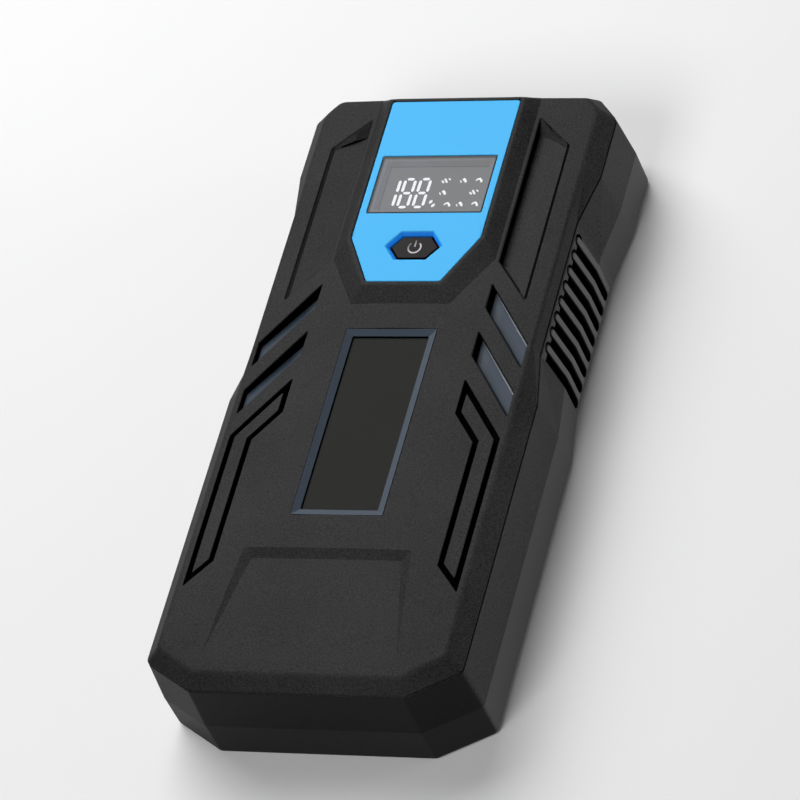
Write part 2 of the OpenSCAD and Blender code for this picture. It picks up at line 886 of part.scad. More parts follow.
// Seven-segment figures: a bar of length l, tapered at both ends
digit_h = 5.2;
digit_w = 2.9;
seg_w = 0.55;
digit_t = 0.06;
module segment(l) {
    polygon([
        [-l / 2, 0], [-l / 2 + seg_w / 2, seg_w / 2], [l / 2 - seg_w / 2, seg_w / 2],
        [l / 2, 0], [l / 2 - seg_w / 2, -seg_w / 2], [-l / 2 + seg_w / 2, -seg_w / 2]
    ]);
}
module upright(x) {
    for (y = [-1, 1])
        translate([x, y * digit_h / 4]) rotate(90) segment(digit_h / 2 - 0.3);
}
module figure_eight() {
    for (x = [-1, 1]) upright(x * digit_w / 2);
    for (y = [-1, 0, 1]) translate([0, y * digit_h / 2]) segment(digit_w - 0.3);
}

// Lit figures on the face of the module
module display_digits() {
    color("white")
    translate([0, window_y - 2.6, display_top + module_t])
        linear_extrude(digit_t) {
            translate([-9.4, 0]) upright(0);
            translate([-6.4, 0]) figure_eight();
            translate([-2.2, 0]) figure_eight();
        }
}

module display_board() {
    color("#1d5a3a")
    difference() {
        translate([0, display_y, 0])
            column(rect_pts(display_w, display_len), display_top - board_t, display_top);
        for (p = display_posts)
            translate([p[0], p[1], display_top - board_t - 1]) cylinder(r = 1.1, h = board_t + 2);
    }
}

// Heights of the switch under the button
switch_body = 2;
plunger_r = 1.6;
plunger_room = 1.1;
module power_button() {
    color("#1b1b1d")
    at_button(0) {
        column(button_pts, flange_top - flange_t, button_top);
        column(grown(button_pts, flange_w), flange_top - flange_t, flange_top);
    }
}

module switch_plunger() {
    color("#d8d8d2")
    at_button(display_top + switch_body - plunger_room + button_travel)
        cylinder(r = plunger_r,
                 h = flange_top - flange_t - display_top - switch_body + plunger_room
                     - button_travel);
}

module tact_switch() {
    color("#2b2b2d")
    difference() {
        at_button(display_top) translate([-3, -3, 0]) cube([6, 6, switch_body]);
        at_button(display_top + switch_body - plunger_room - 0.1)
            cylinder(r = plunger_r + 0.08, h = plunger_room + 1);
    }
}

// ================= trim =================

module nameplate_frame() {
    color("#4a5361")
    difference() {
        column(name_box, name_seat, name_rim);
        hull() {
            column(grown_cw(name_box, -name_slope), name_seat - 1, name_seat + insert_t);
            column(grown_cw(name_box, -0.15), name_rim, name_rim + eps);
        }
    }
}

module nameplate() {
    color("#1e1e1c")
    column(grown_cw(name_box, -name_slope - fit), name_seat, name_seat + insert_t - fit);
}

module slot_inserts() {
    for (y = slots) column(grown_cw(slot_pts(y), -fit), slot_floor, slot_floor + insert_t);
}
module slot_insert_right() {
    color("#46505f") slot_inserts();
}
module slot_insert_left() {
    color("#46505f") mirror([1, 0, 0]) slot_inserts();
}

// ================= battery =================

module cell(i) {
    color("#8f9aa6")
    box_between(-cell_w / 2, cell_w / 2, cell_y0, cell_y1, stack_h + i * cell_step,
                stack_h + i * cell_step + cell_t);
}
module cell_1() { cell(0); }
module cell_2() { cell(1); }
module cell_3() { cell(2); }

// Foam under, between and on top of the cells
module cell_pads() {
    color("#2f2f31")
    for (i = [0 : cell_n])
        box_between(-pad_w / 2, pad_w / 2, cell_y0 + foam_in, cell_y1 - foam_in,
                    stack_h + i * cell_step - foam_t, stack_h + i * cell_step);
}

tab_t = 0.3;
module cell_tabs() {
    color("#c9ccd0")
    for (i = [0 : cell_n - 1], x = [-1, 1])
        box_between(x * tab_x - tab_w / 2, x * tab_x + tab_w / 2, cell_y1, tab_end,
                    stack_h + i * cell_step + cell_t / 2 - tab_t / 2,
                    stack_h + i * cell_step + cell_t / 2 + tab_t / 2);
}

module pack_board() {
    color("#1d5a3a")
    box_between(-cell_w / 2, cell_w / 2, tab_end, pack_front, floor_h, stack_top - 2);
}

// ================= boards =================

// The main board has a tongue that carries the two small ports
module main_board() {
    color("#1d5a3a")
    difference() {
        union() {
            box_between(-main_w / 2, main_w / 2, main_y0, main_y1, main_z, main_top);
            box_between(tongue_x0, tongue_x1, main_y1 - eps, recess_y - end_wall - 0.5, main_z,
                        main_top);
        }
        for (p = main_posts)
            translate([p[0], p[1], main_z - 1]) cylinder(r = 1.1, h = board_t + 2);
    }
}

// Sizes of the parts on the main board and their distances from its edges
inductor = [12, 12, 7];
inductor_in = 6;
inductor_low = 11;
module power_inductor() {
    color("#55565a")
    translate([main_w / 2 - inductor_in - inductor[0], main_y0 + inductor_low, main_top])
        cube(inductor);
}

capacitor_r = 3.9;
capacitor_h = 9;
capacitor_in = 10.5;
capacitor_low = 13;
capacitor_pitch = 9;
module capacitors() {
    color("#26406e")
    for (i = [0 : 2])
        translate([-main_w / 2 + capacitor_in, main_y0 + capacitor_low + capacitor_pitch * i,
                   main_top])
            cylinder(r = capacitor_r, h = capacitor_h);
}

transistor = [4.2, 5, 2.2];
transistor_in = 0.5;
transistor_low = 8;
transistor_pitch = 6.3;
module power_transistors() {
    color("#222224")
    for (i = [0 : 3])
        translate([main_w / 2 - transistor_in - transistor[0],
                   main_y0 + transistor_low + transistor_pitch * i, main_top])
            cube(transistor);
}

// A round lead swept through its points, which never run straight up
lead_sides = 12;
module lead(pts) {
    n = len(pts);
    rings = [
        for (i = [0 : n - 1])
            let (t = unit(pts[min(i + 1, n - 1)] - pts[max(i - 1, 0)]),
                 side = unit(cross(t, [0, 0, 1])),
                 up = cross(side, t))
                [for (k = [0 : lead_sides - 1])
                    let (a = -360 * k / lead_sides)
                        pts[i] + lead_r * (cos(a) * side + sin(a) * up)]
    ];
    loft(rings, true);
}

// A lead leaves the battery high, crosses over to its contact and comes down to it
contact_base = 2;
contact_back = recess_y - contact_depth - contact_base;
lead_z = port_h;
lead_rise = 4;
lead_straight = 2;
lead_cross = 14;
lead_settle = 3;
lead_turn = 0.7;
module battery_lead(side) {
    x = jump_x + side * contact_pitch / 2;
    y0 = main_y0 + lead_straight;
    y1 = y0 + lead_cross;
    lead([[side * tab_x, pack_front, lead_z + lead_rise],
          [side * tab_x, y0 - lead_straight, lead_z + lead_rise],
          [side * (tab_x - lead_turn), y0, lead_z + 0.95 * lead_rise],
          [(side * tab_x + x) / 2, (y0 + y1) / 2, lead_z + lead_rise / 2],
          [x + side * lead_turn, y1, lead_z + 0.075 * lead_rise],
          [x, y1 + lead_settle, lead_z],
          [x, contact_back, lead_z]]);
}
module positive_lead() {
    color("#b3261e") battery_lead(1);
}
module negative_lead() {
    color("#18181a") battery_lead(-1);
}

// Flat ribbon between the display board and the main board, with its plugs
ribbon_x = 12;
ribbon_in = 7;
ribbon_y = main_y1 - ribbon_in;
ribbon_t = 0.3;
ribbon_w = 10;
ribbon_plug = [12, 3, 2];
module display_ribbon() {
    color("#c9b48a")
    union() {
        box_between(ribbon_x - ribbon_w / 2, ribbon_x + ribbon_w / 2, ribbon_y,
                    ribbon_y + ribbon_t, main_top + ribbon_plug[2] / 2,
                    display_top - board_t - ribbon_plug[2] / 2);
        for (h = [main_top, display_top - board_t - ribbon_plug[2]])
            translate([ribbon_x, ribbon_y, 0])
                column(rect_pts(ribbon_plug[0], ribbon_plug[1]), h, h + ribbon_plug[2]);
    }
}

// ================= output end =================

module along_y(x, y, z) {
    translate([x, y, z]) rotate([-90, 0, 0]) children();
}

// Socket block with a well for each contact
module jump_socket() {
    color("#2b62c4")
    difference() {
        box_between(jump_x - jump_w / 2, jump_x + jump_w / 2, recess_y - jump_len, recess_y,
                    port_h - jump_hgt / 2, port_h + jump_hgt / 2);
        for (side = [-1, 1])
            along_y(jump_x + side * contact_pitch / 2, recess_y - jump_len - 1, port_h)
                cylinder(r = contact_out + contact_gap, h = jump_len + 2);
    }
}

// How far a contact's mouth lies behind the face of the socket
contact_set = 0.4;
module jump_contacts() {
    color("#c9a24b")
    for (side = [-1, 1])
        along_y(jump_x + side * contact_pitch / 2, contact_back, port_h)
            difference() {
                cylinder(r = contact_out, h = contact_depth + contact_base - contact_set);
                translate([0, 0, contact_base]) cylinder(r = contact_r, h = contact_depth);
            }
}

// Metal shell of a small port with its mouth and tongue
module port_shell(size, x, t) {
    difference() {
        box_between(x - size[0] / 2, x + size[0] / 2, recess_y - size[1], recess_y, main_top,
                    main_top + size[2]);
        box_between(x - size[0] / 2 + t, x + size[0] / 2 - t, recess_y - size[1] + 1.5,
                    recess_y + 1, main_top + t, main_top + size[2] - t);
    }
}
module usb_a_port() {
    color("#c3c6ca") {
        port_shell(usb_a, usb_a_x, 0.5);
        box_between(usb_a_x - 5.5, usb_a_x + 5.5, recess_y - usb_a[1] + 1.4, recess_y - 1,
                    main_top + 3.2, main_top + 4.8);
    }
}
module usb_c_port() {
    color("#c3c6ca") {
        port_shell(usb_c, usb_c_x, 0.35);
        box_between(usb_c_x - 3.2, usb_c_x + 3.2, recess_y - usb_c[1] + 1.4, recess_y - 0.8,
                    main_top + 1.25, main_top + 1.95);
    }
}

module torch_lens() {
    color("#e8eef2")
    along_y(torch_x, lens_seat, port_h) cylinder(r = torch_r, h = lens_t);
}

// Cup that opens towards the lens
module torch_reflector() {
    color("#d9dce0")
    along_y(torch_x, torch_board_y, port_h)
        rotate_extrude()
            polygon([
                [2.4, 0], [3.4, 0], [torch_r - 0.2, reflector_len - 1.2],
                [torch_r - 0.2, reflector_len], [torch_r - torch_seat, reflector_len]
            ]);
}

module torch_board() {
    color("#e9e9e4")
    union() {
        along_y(torch_x, torch_board_y - board_t, port_h) cylinder(r = torch_r - 0.4, h = board_t);
        box_between(torch_x - 1.5, torch_x + 1.5, torch_board_y - 0.1, torch_board_y + chip_t,
                    port_h - 1.5, port_h + 1.5);
    }
}

// The cover fills its recess and turns on the knuckle at its right edge
module port_cover() {
    color("#2d2d2f")
    difference() {
        union() {
            intersection() {
                box_between(cover_x0, cover_x1, cover_in, top_end + 1, cover_z0, cover_z1);
                rear_outer();
            }
            translate([hinge_x, pin_y, cover_z0]) cylinder(r = knuckle_r, h = cover_h);
        }
        translate([hinge_x, pin_y, 0]) cylinder(r = pin_r + pin_play, h = part_h);
        // Finger notch at the free edge
        translate([cover_x0 - 0.6, top_end, port_h]) sphere(r = 2.2);
    }
}

module cover_pin() {
    color("#b9bcc0")
    translate([hinge_x, pin_y, cover_z0 - play - pin_reach + 0.1])
        cylinder(r = pin_r, h = cover_h + 2 * play + 2 * pin_reach - 0.2);
}

// ================= fasteners =================

head_t = 1.8;
module case_screws() {
    color("#5b5d61")
    for (p = boss_spots)
        translate([p[0], p[1], 0])
            difference() {
                union() {
                    translate([0, 0, screw_sink - head_t]) cylinder(r = screw_head_r, h = head_t);
                    translate([0, 0, screw_sink - eps])
                        cylinder(r = screw_r - thread_gap,
                                 h = boss_top + screw_bite - screw_sink + eps);
                }
                // Cross slot
                for (a = [0, 90])
                    translate([0, 0, screw_sink - head_t]) rotate(a) cube([3, 0.6, 1.6],
                                                                          center = true);
            }
}

module board_screw() {
    cylinder(r = 1.9, h = 1.1);
    translate([0, 0, -small_len]) cylinder(r = small_r, h = small_len + eps);
}
module board_screws() {
    color("#9a9da1") {
        for (p = main_posts) translate([p[0], p[1], main_top]) board_screw();
        for (p = display_posts)
            translate([p[0], p[1], display_top - board_t]) mirror([0, 0, 1]) board_screw();
    }
}

front_shell();
rear_shell();
control_panel();
display_window();
display_digits();
display_module();
display_board();
power_button();
switch_plunger();
tact_switch();
nameplate_frame();
nameplate();
slot_insert_left();
slot_insert_right();
cell_1();
cell_2();
cell_3();
cell_pads();
cell_tabs();
pack_board();
main_board();
power_inductor();
capacitors();
power_transistors();
positive_lead();
negative_lead();
display_ribbon();
jump_socket();
jump_contacts();
usb_a_port();
usb_c_port();
torch_lens();
torch_reflector();
torch_board();
port_cover();
cover_pin();
case_screws();
board_screws();
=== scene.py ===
"""Dressed model of a jump starter pack: shells, panel, trim, output end and innards.

Sizes are in millimetres and are turned into metres where a mesh is made.
"""

import json
import logging
import math
from collections.abc import Callable, Sequence
from dataclasses import dataclass, field
from enum import Enum

import bpy
from mathutils import Matrix, Vector

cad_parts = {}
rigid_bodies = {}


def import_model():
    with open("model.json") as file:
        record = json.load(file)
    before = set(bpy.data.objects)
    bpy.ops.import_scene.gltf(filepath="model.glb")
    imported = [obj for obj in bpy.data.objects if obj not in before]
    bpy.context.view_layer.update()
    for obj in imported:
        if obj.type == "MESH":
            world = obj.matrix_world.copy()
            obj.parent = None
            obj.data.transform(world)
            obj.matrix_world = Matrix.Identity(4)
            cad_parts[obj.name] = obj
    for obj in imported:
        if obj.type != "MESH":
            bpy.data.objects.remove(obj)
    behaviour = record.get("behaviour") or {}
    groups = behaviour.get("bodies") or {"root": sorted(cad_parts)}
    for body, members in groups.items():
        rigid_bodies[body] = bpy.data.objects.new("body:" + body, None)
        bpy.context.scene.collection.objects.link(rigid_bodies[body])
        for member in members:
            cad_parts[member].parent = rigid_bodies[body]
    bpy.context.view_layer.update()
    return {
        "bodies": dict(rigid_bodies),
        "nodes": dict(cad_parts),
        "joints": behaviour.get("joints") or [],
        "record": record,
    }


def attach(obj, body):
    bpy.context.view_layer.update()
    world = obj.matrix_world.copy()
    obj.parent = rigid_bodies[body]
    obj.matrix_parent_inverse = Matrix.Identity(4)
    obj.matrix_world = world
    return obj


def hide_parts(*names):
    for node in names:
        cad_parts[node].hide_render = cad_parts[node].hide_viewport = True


MM = 0.001
LOG = logging.getLogger("starter_pack")

Point = tuple[float, float]
Place = tuple[float, float, float]
Colour = tuple[float, float, float]
Piece = bpy.types.Object


class Body(Enum):
    """The moving groups of the pack."""

    CASE = "case"
    BUTTON = "button"
    COVER = "cover"


class Join(Enum):
    """Ways in which one solid works on another."""

    CUT = "DIFFERENCE"
    ADD = "UNION"


class Axis(Enum):
    """The three directions of the frame."""

    X = (1.0, 0.0, 0.0)
    Y = (0.0, 1.0, 0.0)
    Z = (0.0, 0.0, 1.0)


# ---------------------------------------------------------------- outlines


def area_of(points: Sequence[Point]) -> float:
    """Signed area of an outline."""
    pairs = zip(points, list(points[1:]) + [points[0]])
    return sum(a[0] * b[1] - b[0] * a[1] for a, b in pairs) / 2


def turned(points: Sequence[Point]) -> list[Point]:
    """Puts an outline's corners in counter-clockwise order."""
    return list(points) if area_of(points) > 0 else list(reversed(points))


def mirrored(points: Sequence[Point]) -> list[Point]:
    """Mirrors an outline left to right."""
    return turned([(-x, y) for x, y in points])


def grown(points: Sequence[Point], by: float) -> list[Point]:
    """Moves every edge of a counter-clockwise outline outwards.

    Args:
        points: Corners, counter-clockwise.
        by: Distance in millimetres, below zero for inwards.

    Returns:
        The moved corners.
    """
    moved = []
    for i, here in enumerate(points):
        before, after = points[i - 1], points[(i + 1) % len(points)]
        one = outward(before, here)
        two = outward(here, after)
        share = by / (1 + one[0] * two[0] + one[1] * two[1])
        moved.append((here[0] + share * (one[0] + two[0]),
                      here[1] + share * (one[1] + two[1])))
    return moved


def outward(start: Point, end: Point) -> Point:
    """Unit normal of an edge, pointing out of a counter-clockwise outline.

    Args:
        start: First corner of the edge.
        end: Second corner of the edge.

    Returns:
        The normal.
    """
    along = (end[0] - start[0], end[1] - start[1])
    size = math.hypot(*along)
    return along[1] / size, -along[0] / size


def rounded(points: Sequence[Point], radius: float | Sequence[float], steps: int = 3,
            least: float = 22.0) -> list[Point]:
    """Turns the corners of an outline into arcs.

    Args:
        points: Corners in order.
        radius: Radius of the arcs in millimetres, or one for each corner.
        steps: Number of straight pieces in an arc.
        least: Turn in degrees below which a corner stays as it is.

    Returns:
        The corners with arcs in them.
    """
    result: list[Point] = []
    radii = [radius] * len(points) if isinstance(radius, (int, float)) else radius
    for i, here in enumerate(points):
        corner = Vector(here)
        back = (Vector(points[i - 1]) - corner)
        on = (Vector(points[(i + 1) % len(points)]) - corner)
        between = back.angle(on)
        if math.degrees(math.pi - between) < least:
            result.append(here)
            continue
        reach = min(radii[i] / math.tan(between / 2), 0.45 * back.length, 0.45 * on.length)
        bend = reach * math.tan(between / 2)
        back.normalize()
        on.normalize()
        centre = corner + (back + on).normalized() * bend / math.sin(between / 2)
        first = corner + back * reach - centre
        last = corner + on * reach - centre
        swing = first.angle_signed(last)
        for step in range(steps + 1):
            turn = Matrix.Rotation(-swing * step / steps, 2)
            result.append(tuple(centre + turn @ first))
    return result


def between(first: Sequence[Place], second: Sequence[Place],
            shares: Sequence[float]) -> list[Place]:
    """Points on the lines between two rings."""
    return [tuple(Vector(a).lerp(Vector(b), share))
            for a, b, share in zip(first, second, shares)]


def at_height(points: Sequence[Point], z: float) -> list[Place]:
    """Lifts an outline to a height."""
    return [(x, y, z) for x, y in points]


def within(points: Sequence[Point], x: float, y: float) -> bool:
    """Tells whether a spot lies in an outline.

    Args:
        points: Corners of the outline.
        x: First coordinate of the spot.
        y: Second coordinate of the spot.

    Returns:
        True where the spot lies inside.
    """
    inside = False
    for (x0, y0), (x1, y1) in zip(points, list(points[1:]) + [points[0]]):
        if (y0 > y) != (y1 > y) and x < (x1 - x0) * (y - y0) / (y1 - y0) + x0:
            inside = not inside
    return inside


def oblong(width: float, length: float, x: float = 0.0, y: float = 0.0) -> list[Point]:
    """Corners of a rectangle."""
    return [(x - width / 2, y - length / 2), (x + width / 2, y - length / 2),
            (x + width / 2, y + length / 2), (x - width / 2, y + length / 2)]


def disc(radius: float, x: float, y: float, count: int = 40) -> list[Point]:
    """Corners of a many-sided circle."""
    return [(x + radius * math.cos(2 * math.pi * i / count),
             y + radius * math.sin(2 * math.pi * i / count)) for i in range(count)]


# ---------------------------------------------------------------- modelling


@dataclass(frozen=True)
class Crease:
    """An edge between two faces, as the choice of its rounding sees it.

    Attributes:
        mid: Middle of the edge in millimetres.
        along: Direction of the edge.
        angle: Turn between its faces in degrees.
        proud: True where the edge stands out, False where it is a valley.
        reach: Width of the narrower of its faces in millimetres.
    """

    mid: Vector
    along: Vector
    angle: float
    proud: bool
    reach: float


Choice = Callable[[Crease], float]
WIDE = 1.0
NEAR = 0.02
FLAT = 0.002
BEVEL_LAYER = "bevel_weight_edge"


class Bench:
    """The modelling tools, used as by hand."""

    def rest(self) -> None:
        """Leaves edit mode with nothing selected."""
        if bpy.context.object and bpy.context.object.mode != "OBJECT":
            bpy.ops.object.mode_set(mode="OBJECT")
        bpy.ops.object.select_all(action="DESELECT")

    def pick(self, piece: Piece) -> None:
        """Makes one piece the only selected and the active one.

        Args:
            piece: Piece to select.
        """
        self.rest()
        piece.select_set(True)
        bpy.context.view_layer.objects.active = piece

    def edit(self, piece: Piece, action: str | None = "SELECT") -> None:
        """Opens a piece in edit mode, with all of it selected unless the action differs.

        Args:
            piece: Piece to open.
            action: What is done to the selection, or none to leave it.
        """
        self.pick(piece)
        bpy.ops.object.mode_set(mode="EDIT")
        bpy.ops.mesh.select_mode(type="FACE")
        if action:
            bpy.ops.mesh.select_all(action=action)

    def close(self) -> None:
        """Goes back to object mode."""
        bpy.ops.object.mode_set(mode="OBJECT")

    def loft(self, name: str, rings: Sequence[Sequence[Place]]) -> Piece:
        """Builds a closed solid through rings of equal length.

        Args:
            name: Name of the piece.
            rings: Rings of points in millimetres, from one end to the other.

        Returns:
            The solid.
        """
        self.rest()
        bpy.ops.mesh.primitive_circle_add(vertices=len(rings[0]), radius=MM, fill_type="NGON")
        piece = bpy.context.object
        piece.name = piece.data.name = name
        for vertex, place in zip(piece.data.vertices, rings[0]):
            vertex.co = Vector(place) * MM
        before = [Vector(place) * MM for place in rings[0]]
        for k, ring in enumerate(rings[1:]):
            self.edit(piece, None if k else "SELECT")
            bpy.ops.mesh.extrude_region_move(TRANSFORM_OT_translate={"value": (0, 0, 0)})
            self.close()
            for vertex in piece.data.vertices:
                if vertex.select:
                    near = min(range(len(before)),
                               key=lambda i: (vertex.co - before[i]).length_squared)
                    vertex.co = Vector(ring[near]) * MM
            before = [Vector(place) * MM for place in ring]
        self.flatten_quads(piece)
        self.edit(piece)
        bpy.ops.mesh.normals_make_consistent(inside=False)
        self.close()
        return piece

    def flatten_quads(self, piece: Piece) -> None:
        """Splits the faces that aren't flat into triangles.

        Args:
            piece: Piece to look through.
        """
        bent = []
        for face in piece.data.polygons:
            corners = [piece.data.vertices[i].co for i in face.vertices]
            off = max(abs((corner - face.center) @ face.normal) for corner in corners)
            bent.append(off > FLAT * MM)
        self.edit(piece, "DESELECT")
        self.close()
        for face, is_bent in zip(piece.data.polygons, bent):
            face.select = is_bent
        if any(bent):
            bpy.ops.object.mode_set(mode="EDIT")
            bpy.ops.mesh.quads_convert_to_tris(quad_method="FIXED", ngon_method="BEAUTY")
            self.close()

    def stack(self, name: str,
              rings: Sequence[tuple[Sequence[Point], float]]) -> Piece:
        """Builds a closed solid through outlines, each with its height."""
        return self.loft(name, [at_height(points, z) for points, z in rings])

    def prism(self, name: str, points: Sequence[Point], low: float,
              high: float) -> Piece:
        """Builds an upright solid over an outline."""
        return self.stack(name, [(turned(points), low), (turned(points), high)])

    def rod(self, name: str, radius: float, start: Place, axis: Axis, length: float,
            far: float | None = None, sides: int = 40) -> Piece:
        """Builds a round bar or a cone from a start point along an axis.

        Args:
            name: Name of the piece.
            radius: Radius at the start in millimetres.
            start: Middle of its first end.
            axis: Direction it runs in.
            length: How far it runs.
            far: Radius at the other end, the same where it is left out.
            sides: Number of its sides.

        Returns:
            The solid.
        """
        x, y, z = start
        rings = []
        for way, size in ((0.0, radius), (length, radius if far is None else far)):
            rings.append([{Axis.X: (x + way, y + a, z + b), Axis.Y: (x + a, y + way, z + b),
                           Axis.Z: (x + a, y + b, z + way)}[axis]
                          for a, b in disc(size, 0, 0, sides)])
        return self.loft(name, rings)

    def block(self, name: str, low: Place, high: Place) -> Piece:
        """Builds a box between two corners."""
        corners = [(low[0], low[1]), (high[0], low[1]), (high[0], high[1]), (low[0], high[1])]
        return self.prism(name, corners, low[2], high[2])

    def together(self, name: str, pieces: Sequence[Piece]) -> Piece:
        """Joins pieces that don't touch into one object.

        Args:
            name: Name of the result.
            pieces: The pieces.

        Returns:
            The joined object.
        """
        self.pick(pieces[0])
        for piece in pieces[1:]:
            piece.select_set(True)
        if len(pieces) > 1:
            bpy.ops.object.join()
        pieces[0].name = pieces[0].data.name = name
        return pieces[0]

    def work(self, piece: Piece, tool: Piece, how: Join) -> None:
        """Cuts, adds or intersects one solid with another and removes the tool.

        Args:
            piece: The solid that is changed.
            tool: The solid that works on it.
            how: What is done.
        """
        modifier = piece.modifiers.new(how.name, "BOOLEAN")
        modifier.operation = how.value
        modifier.solver = "EXACT"
        modifier.object = tool
        self.pick(piece)
        bpy.ops.object.modifier_apply(modifier=modifier.name)
        bpy.data.meshes.remove(tool.data)

    def copied(self, piece: Piece, name: str,
               change: Matrix) -> Piece:
        """Copies a piece with its own mesh, moved or mirrored.

        Args:
            piece: The piece to copy.
            name: Name of the copy.
            change: What is done to the copy.

        Returns:
            The copy.
        """
        twin = piece.copy()
        twin.data = piece.data.copy()
        twin.name = twin.data.name = name
        bpy.context.scene.collection.objects.link(twin)
        twin.data.transform(change)
        if change.determinant() < 0:
            self.edit(twin)
            bpy.ops.mesh.flip_normals()
            self.close()
        return twin

    def clean(self, piece: Piece) -> None:
        """Merges the doubled points that cuts leave.

        Args:
            piece: Piece to clean.
        """
        self.edit(piece)
        bpy.ops.mesh.remove_doubles(threshold=FLAT * MM)
        bpy.ops.mesh.dissolve_degenerate(threshold=FLAT * MM)
        self.close()

    def creases(self, piece: Piece, least: float = 3.0) -> dict[int, Crease]:
        """Lists the edges at which the surface turns.

        Args:
            piece: The piece that is looked at.
            least: Turn in degrees from which an edge counts.

        Returns:
            Crease by the index of its edge.
        """
        mesh = piece.data
        faces: dict[tuple[int, int], list[bpy.types.MeshPolygon]] = {}
        for face in mesh.polygons:
            for key in face.edge_keys:
                faces.setdefault(key, []).append(face)
        found = {}
        for edge in mesh.edges:
            pair = faces.get(edge.key, [])
            if len(pair) != 2:
                continue
            one, two = pair
            angle = math.degrees(one.normal.angle(two.normal, 0.0))
            if angle < least:
                continue
            a, b = (mesh.vertices[i].co / MM for i in edge.vertices)
            middle = (a + b) / 2
            along = (b - a).normalized()
            reach = min(max((mesh.vertices[i].co / MM - a).cross(along).length
                            for i in face.vertices) for face in pair)
            found[edge.index] = Crease(middle, along, angle,
                                       self.into(mesh, one, edge).dot(two.normal) < 0, reach)
        return found

    def into(self, mesh: bpy.types.Mesh, face: bpy.types.MeshPolygon,
             edge: bpy.types.MeshEdge) -> Vector:
        """Direction in a face away from one of its edges.

        Args:
            mesh: The mesh that holds both.
            face: The face.
            edge: One of its edges.

        Returns:
            The direction, at right angles to the edge.
        """
        order = list(face.vertices)
        first, second = edge.vertices
        forward = order[(order.index(first) + 1) % len(order)] == second
        a, b = (mesh.vertices[i].co for i in ((first, second) if forward else (second, first)))
        return face.normal.cross(b - a).normalized()

    def round_edges(self, piece: Piece, choice: Choice, steps: int = 3) -> None:
        """Rounds the edges that a choice gives a width.

        Args:
            piece: The piece.
            choice: Gives each crease its width in millimetres, or zero.
            steps: Number of faces across a rounding.
        """
        widths = {i: choice(crease) for i, crease in self.creases(piece).items()}
        widest = max(widths.values(), default=0)
        if widest <= 0:
            return
        mesh = piece.data
        layer = mesh.attributes.get(BEVEL_LAYER) or mesh.attributes.new(
            BEVEL_LAYER, "FLOAT", "EDGE")
        for i in range(len(mesh.edges)):
            layer.data[i].value = max(widths.get(i, 0), 0) / widest
        modifier = piece.modifiers.new("rounding", "BEVEL")
        modifier.limit_method = "WEIGHT"
        modifier.width = widest * MM
        modifier.segments = steps
        modifier.use_clamp_overlap = False
        self.pick(piece)
        bpy.ops.object.modifier_apply(modifier=modifier.name)
        layer = piece.data.attributes.get(BEVEL_LAYER)
        if layer:
            piece.data.attributes.remove(layer)

    def slice(self, piece: Piece, axis: Axis, places: Sequence[float]) -> None:
        """Adds lines across a piece at given places along an axis.

        Args:
            piece: The piece.
            axis: Direction along which the places are counted.
            places: The places in millimetres.
        """
        self.edit(piece)
        for place in places:
            bpy.ops.mesh.select_all(action="SELECT")
            bpy.ops.mesh.bisect(plane_co=tuple(c * place * MM for c in axis.value),
                                plane_no=axis.value)
        self.close()

    def smooth(self, piece: Piece, angle: float = 34.0, valley: float = 8.0,
               facet: float = 6.0, crisp: Callable[[Crease], bool] | None = None) -> None:
        """Shades a piece smoothly between its sharp edges.

        Args:
            piece: The piece.
            angle: Turn in degrees above which an edge stays sharp.
            valley: The same for an edge that lies in a valley.
            facet: The same for an edge between two wide faces.
            crisp: Tells of a crease whether it stays sharp in any case.
        """
        self.pick(piece)
        bpy.ops.object.shade_smooth_by_angle(angle=math.radians(angle))
        for index, crease in self.creases(piece, 2.5).items():
            wide = crease.reach > WIDE and crease.angle > facet
            hollow = not crease.proud and crease.angle > valley
            if wide or hollow or (crisp and crisp(crease)):
                piece.data.edges[index].use_edge_sharp = True
        modifier = piece.modifiers.new("normals", "WEIGHTED_NORMAL")
        modifier.keep_sharp = True
        modifier.weight = 80
        bpy.ops.object.modifier_apply(modifier=modifier.name)


# ---------------------------------------------------------------- shading


def worked(operation: str, swap: bool = False) -> "Callable[..., Wire]":
    """Makes the method behind one of Python's operators.

    Args:
        operation: Operation of the Math node that it adds.
        swap: Whether the other value comes first.

    Returns:
        The method.
    """
    def method(self: "Wire", other: "Wire | float" = 0.0) -> "Wire":
        """Adds the operator's Math node."""
        return self.shade.node("ShaderNodeMath", {"operation": operation},
                               dict(enumerate((other, self) if swap else (self, other))))

    return method


class Wire:
    """A shader socket that takes part in Python arithmetic.

    A comparison gives one where it holds and zero elsewhere, and at_least gives the
    larger of two values.
    """

    __add__, __radd__ = worked("ADD"), worked("ADD", True)
    __sub__, __rsub__ = worked("SUBTRACT"), worked("SUBTRACT", True)
    __mul__, __rmul__ = worked("MULTIPLY"), worked("MULTIPLY", True)
    __truediv__, __rtruediv__ = worked("DIVIDE"), worked("DIVIDE", True)
    __gt__, __lt__ = worked("GREATER_THAN"), worked("LESS_THAN")
    __abs__, at_least = worked("ABSOLUTE"), worked("MAXIMUM")

    def __init__(self, shade: "Shade", socket: bpy.types.NodeSocket | None) -> None:
        """Keeps the socket and the shader it belongs to."""
        self.shade, self.socket = shade, socket


Value = Wire | float | Colour | tuple[float, float, float, float]
Sockets = dict[str | int, Value]
# Painted shade: the pitch black that marked places take, and how much of it they take
PAINTED_SHADE_BLACK = (0.0004, 0.0004, 0.0005)
PAINTED_SHADE_SHARE = 0.96


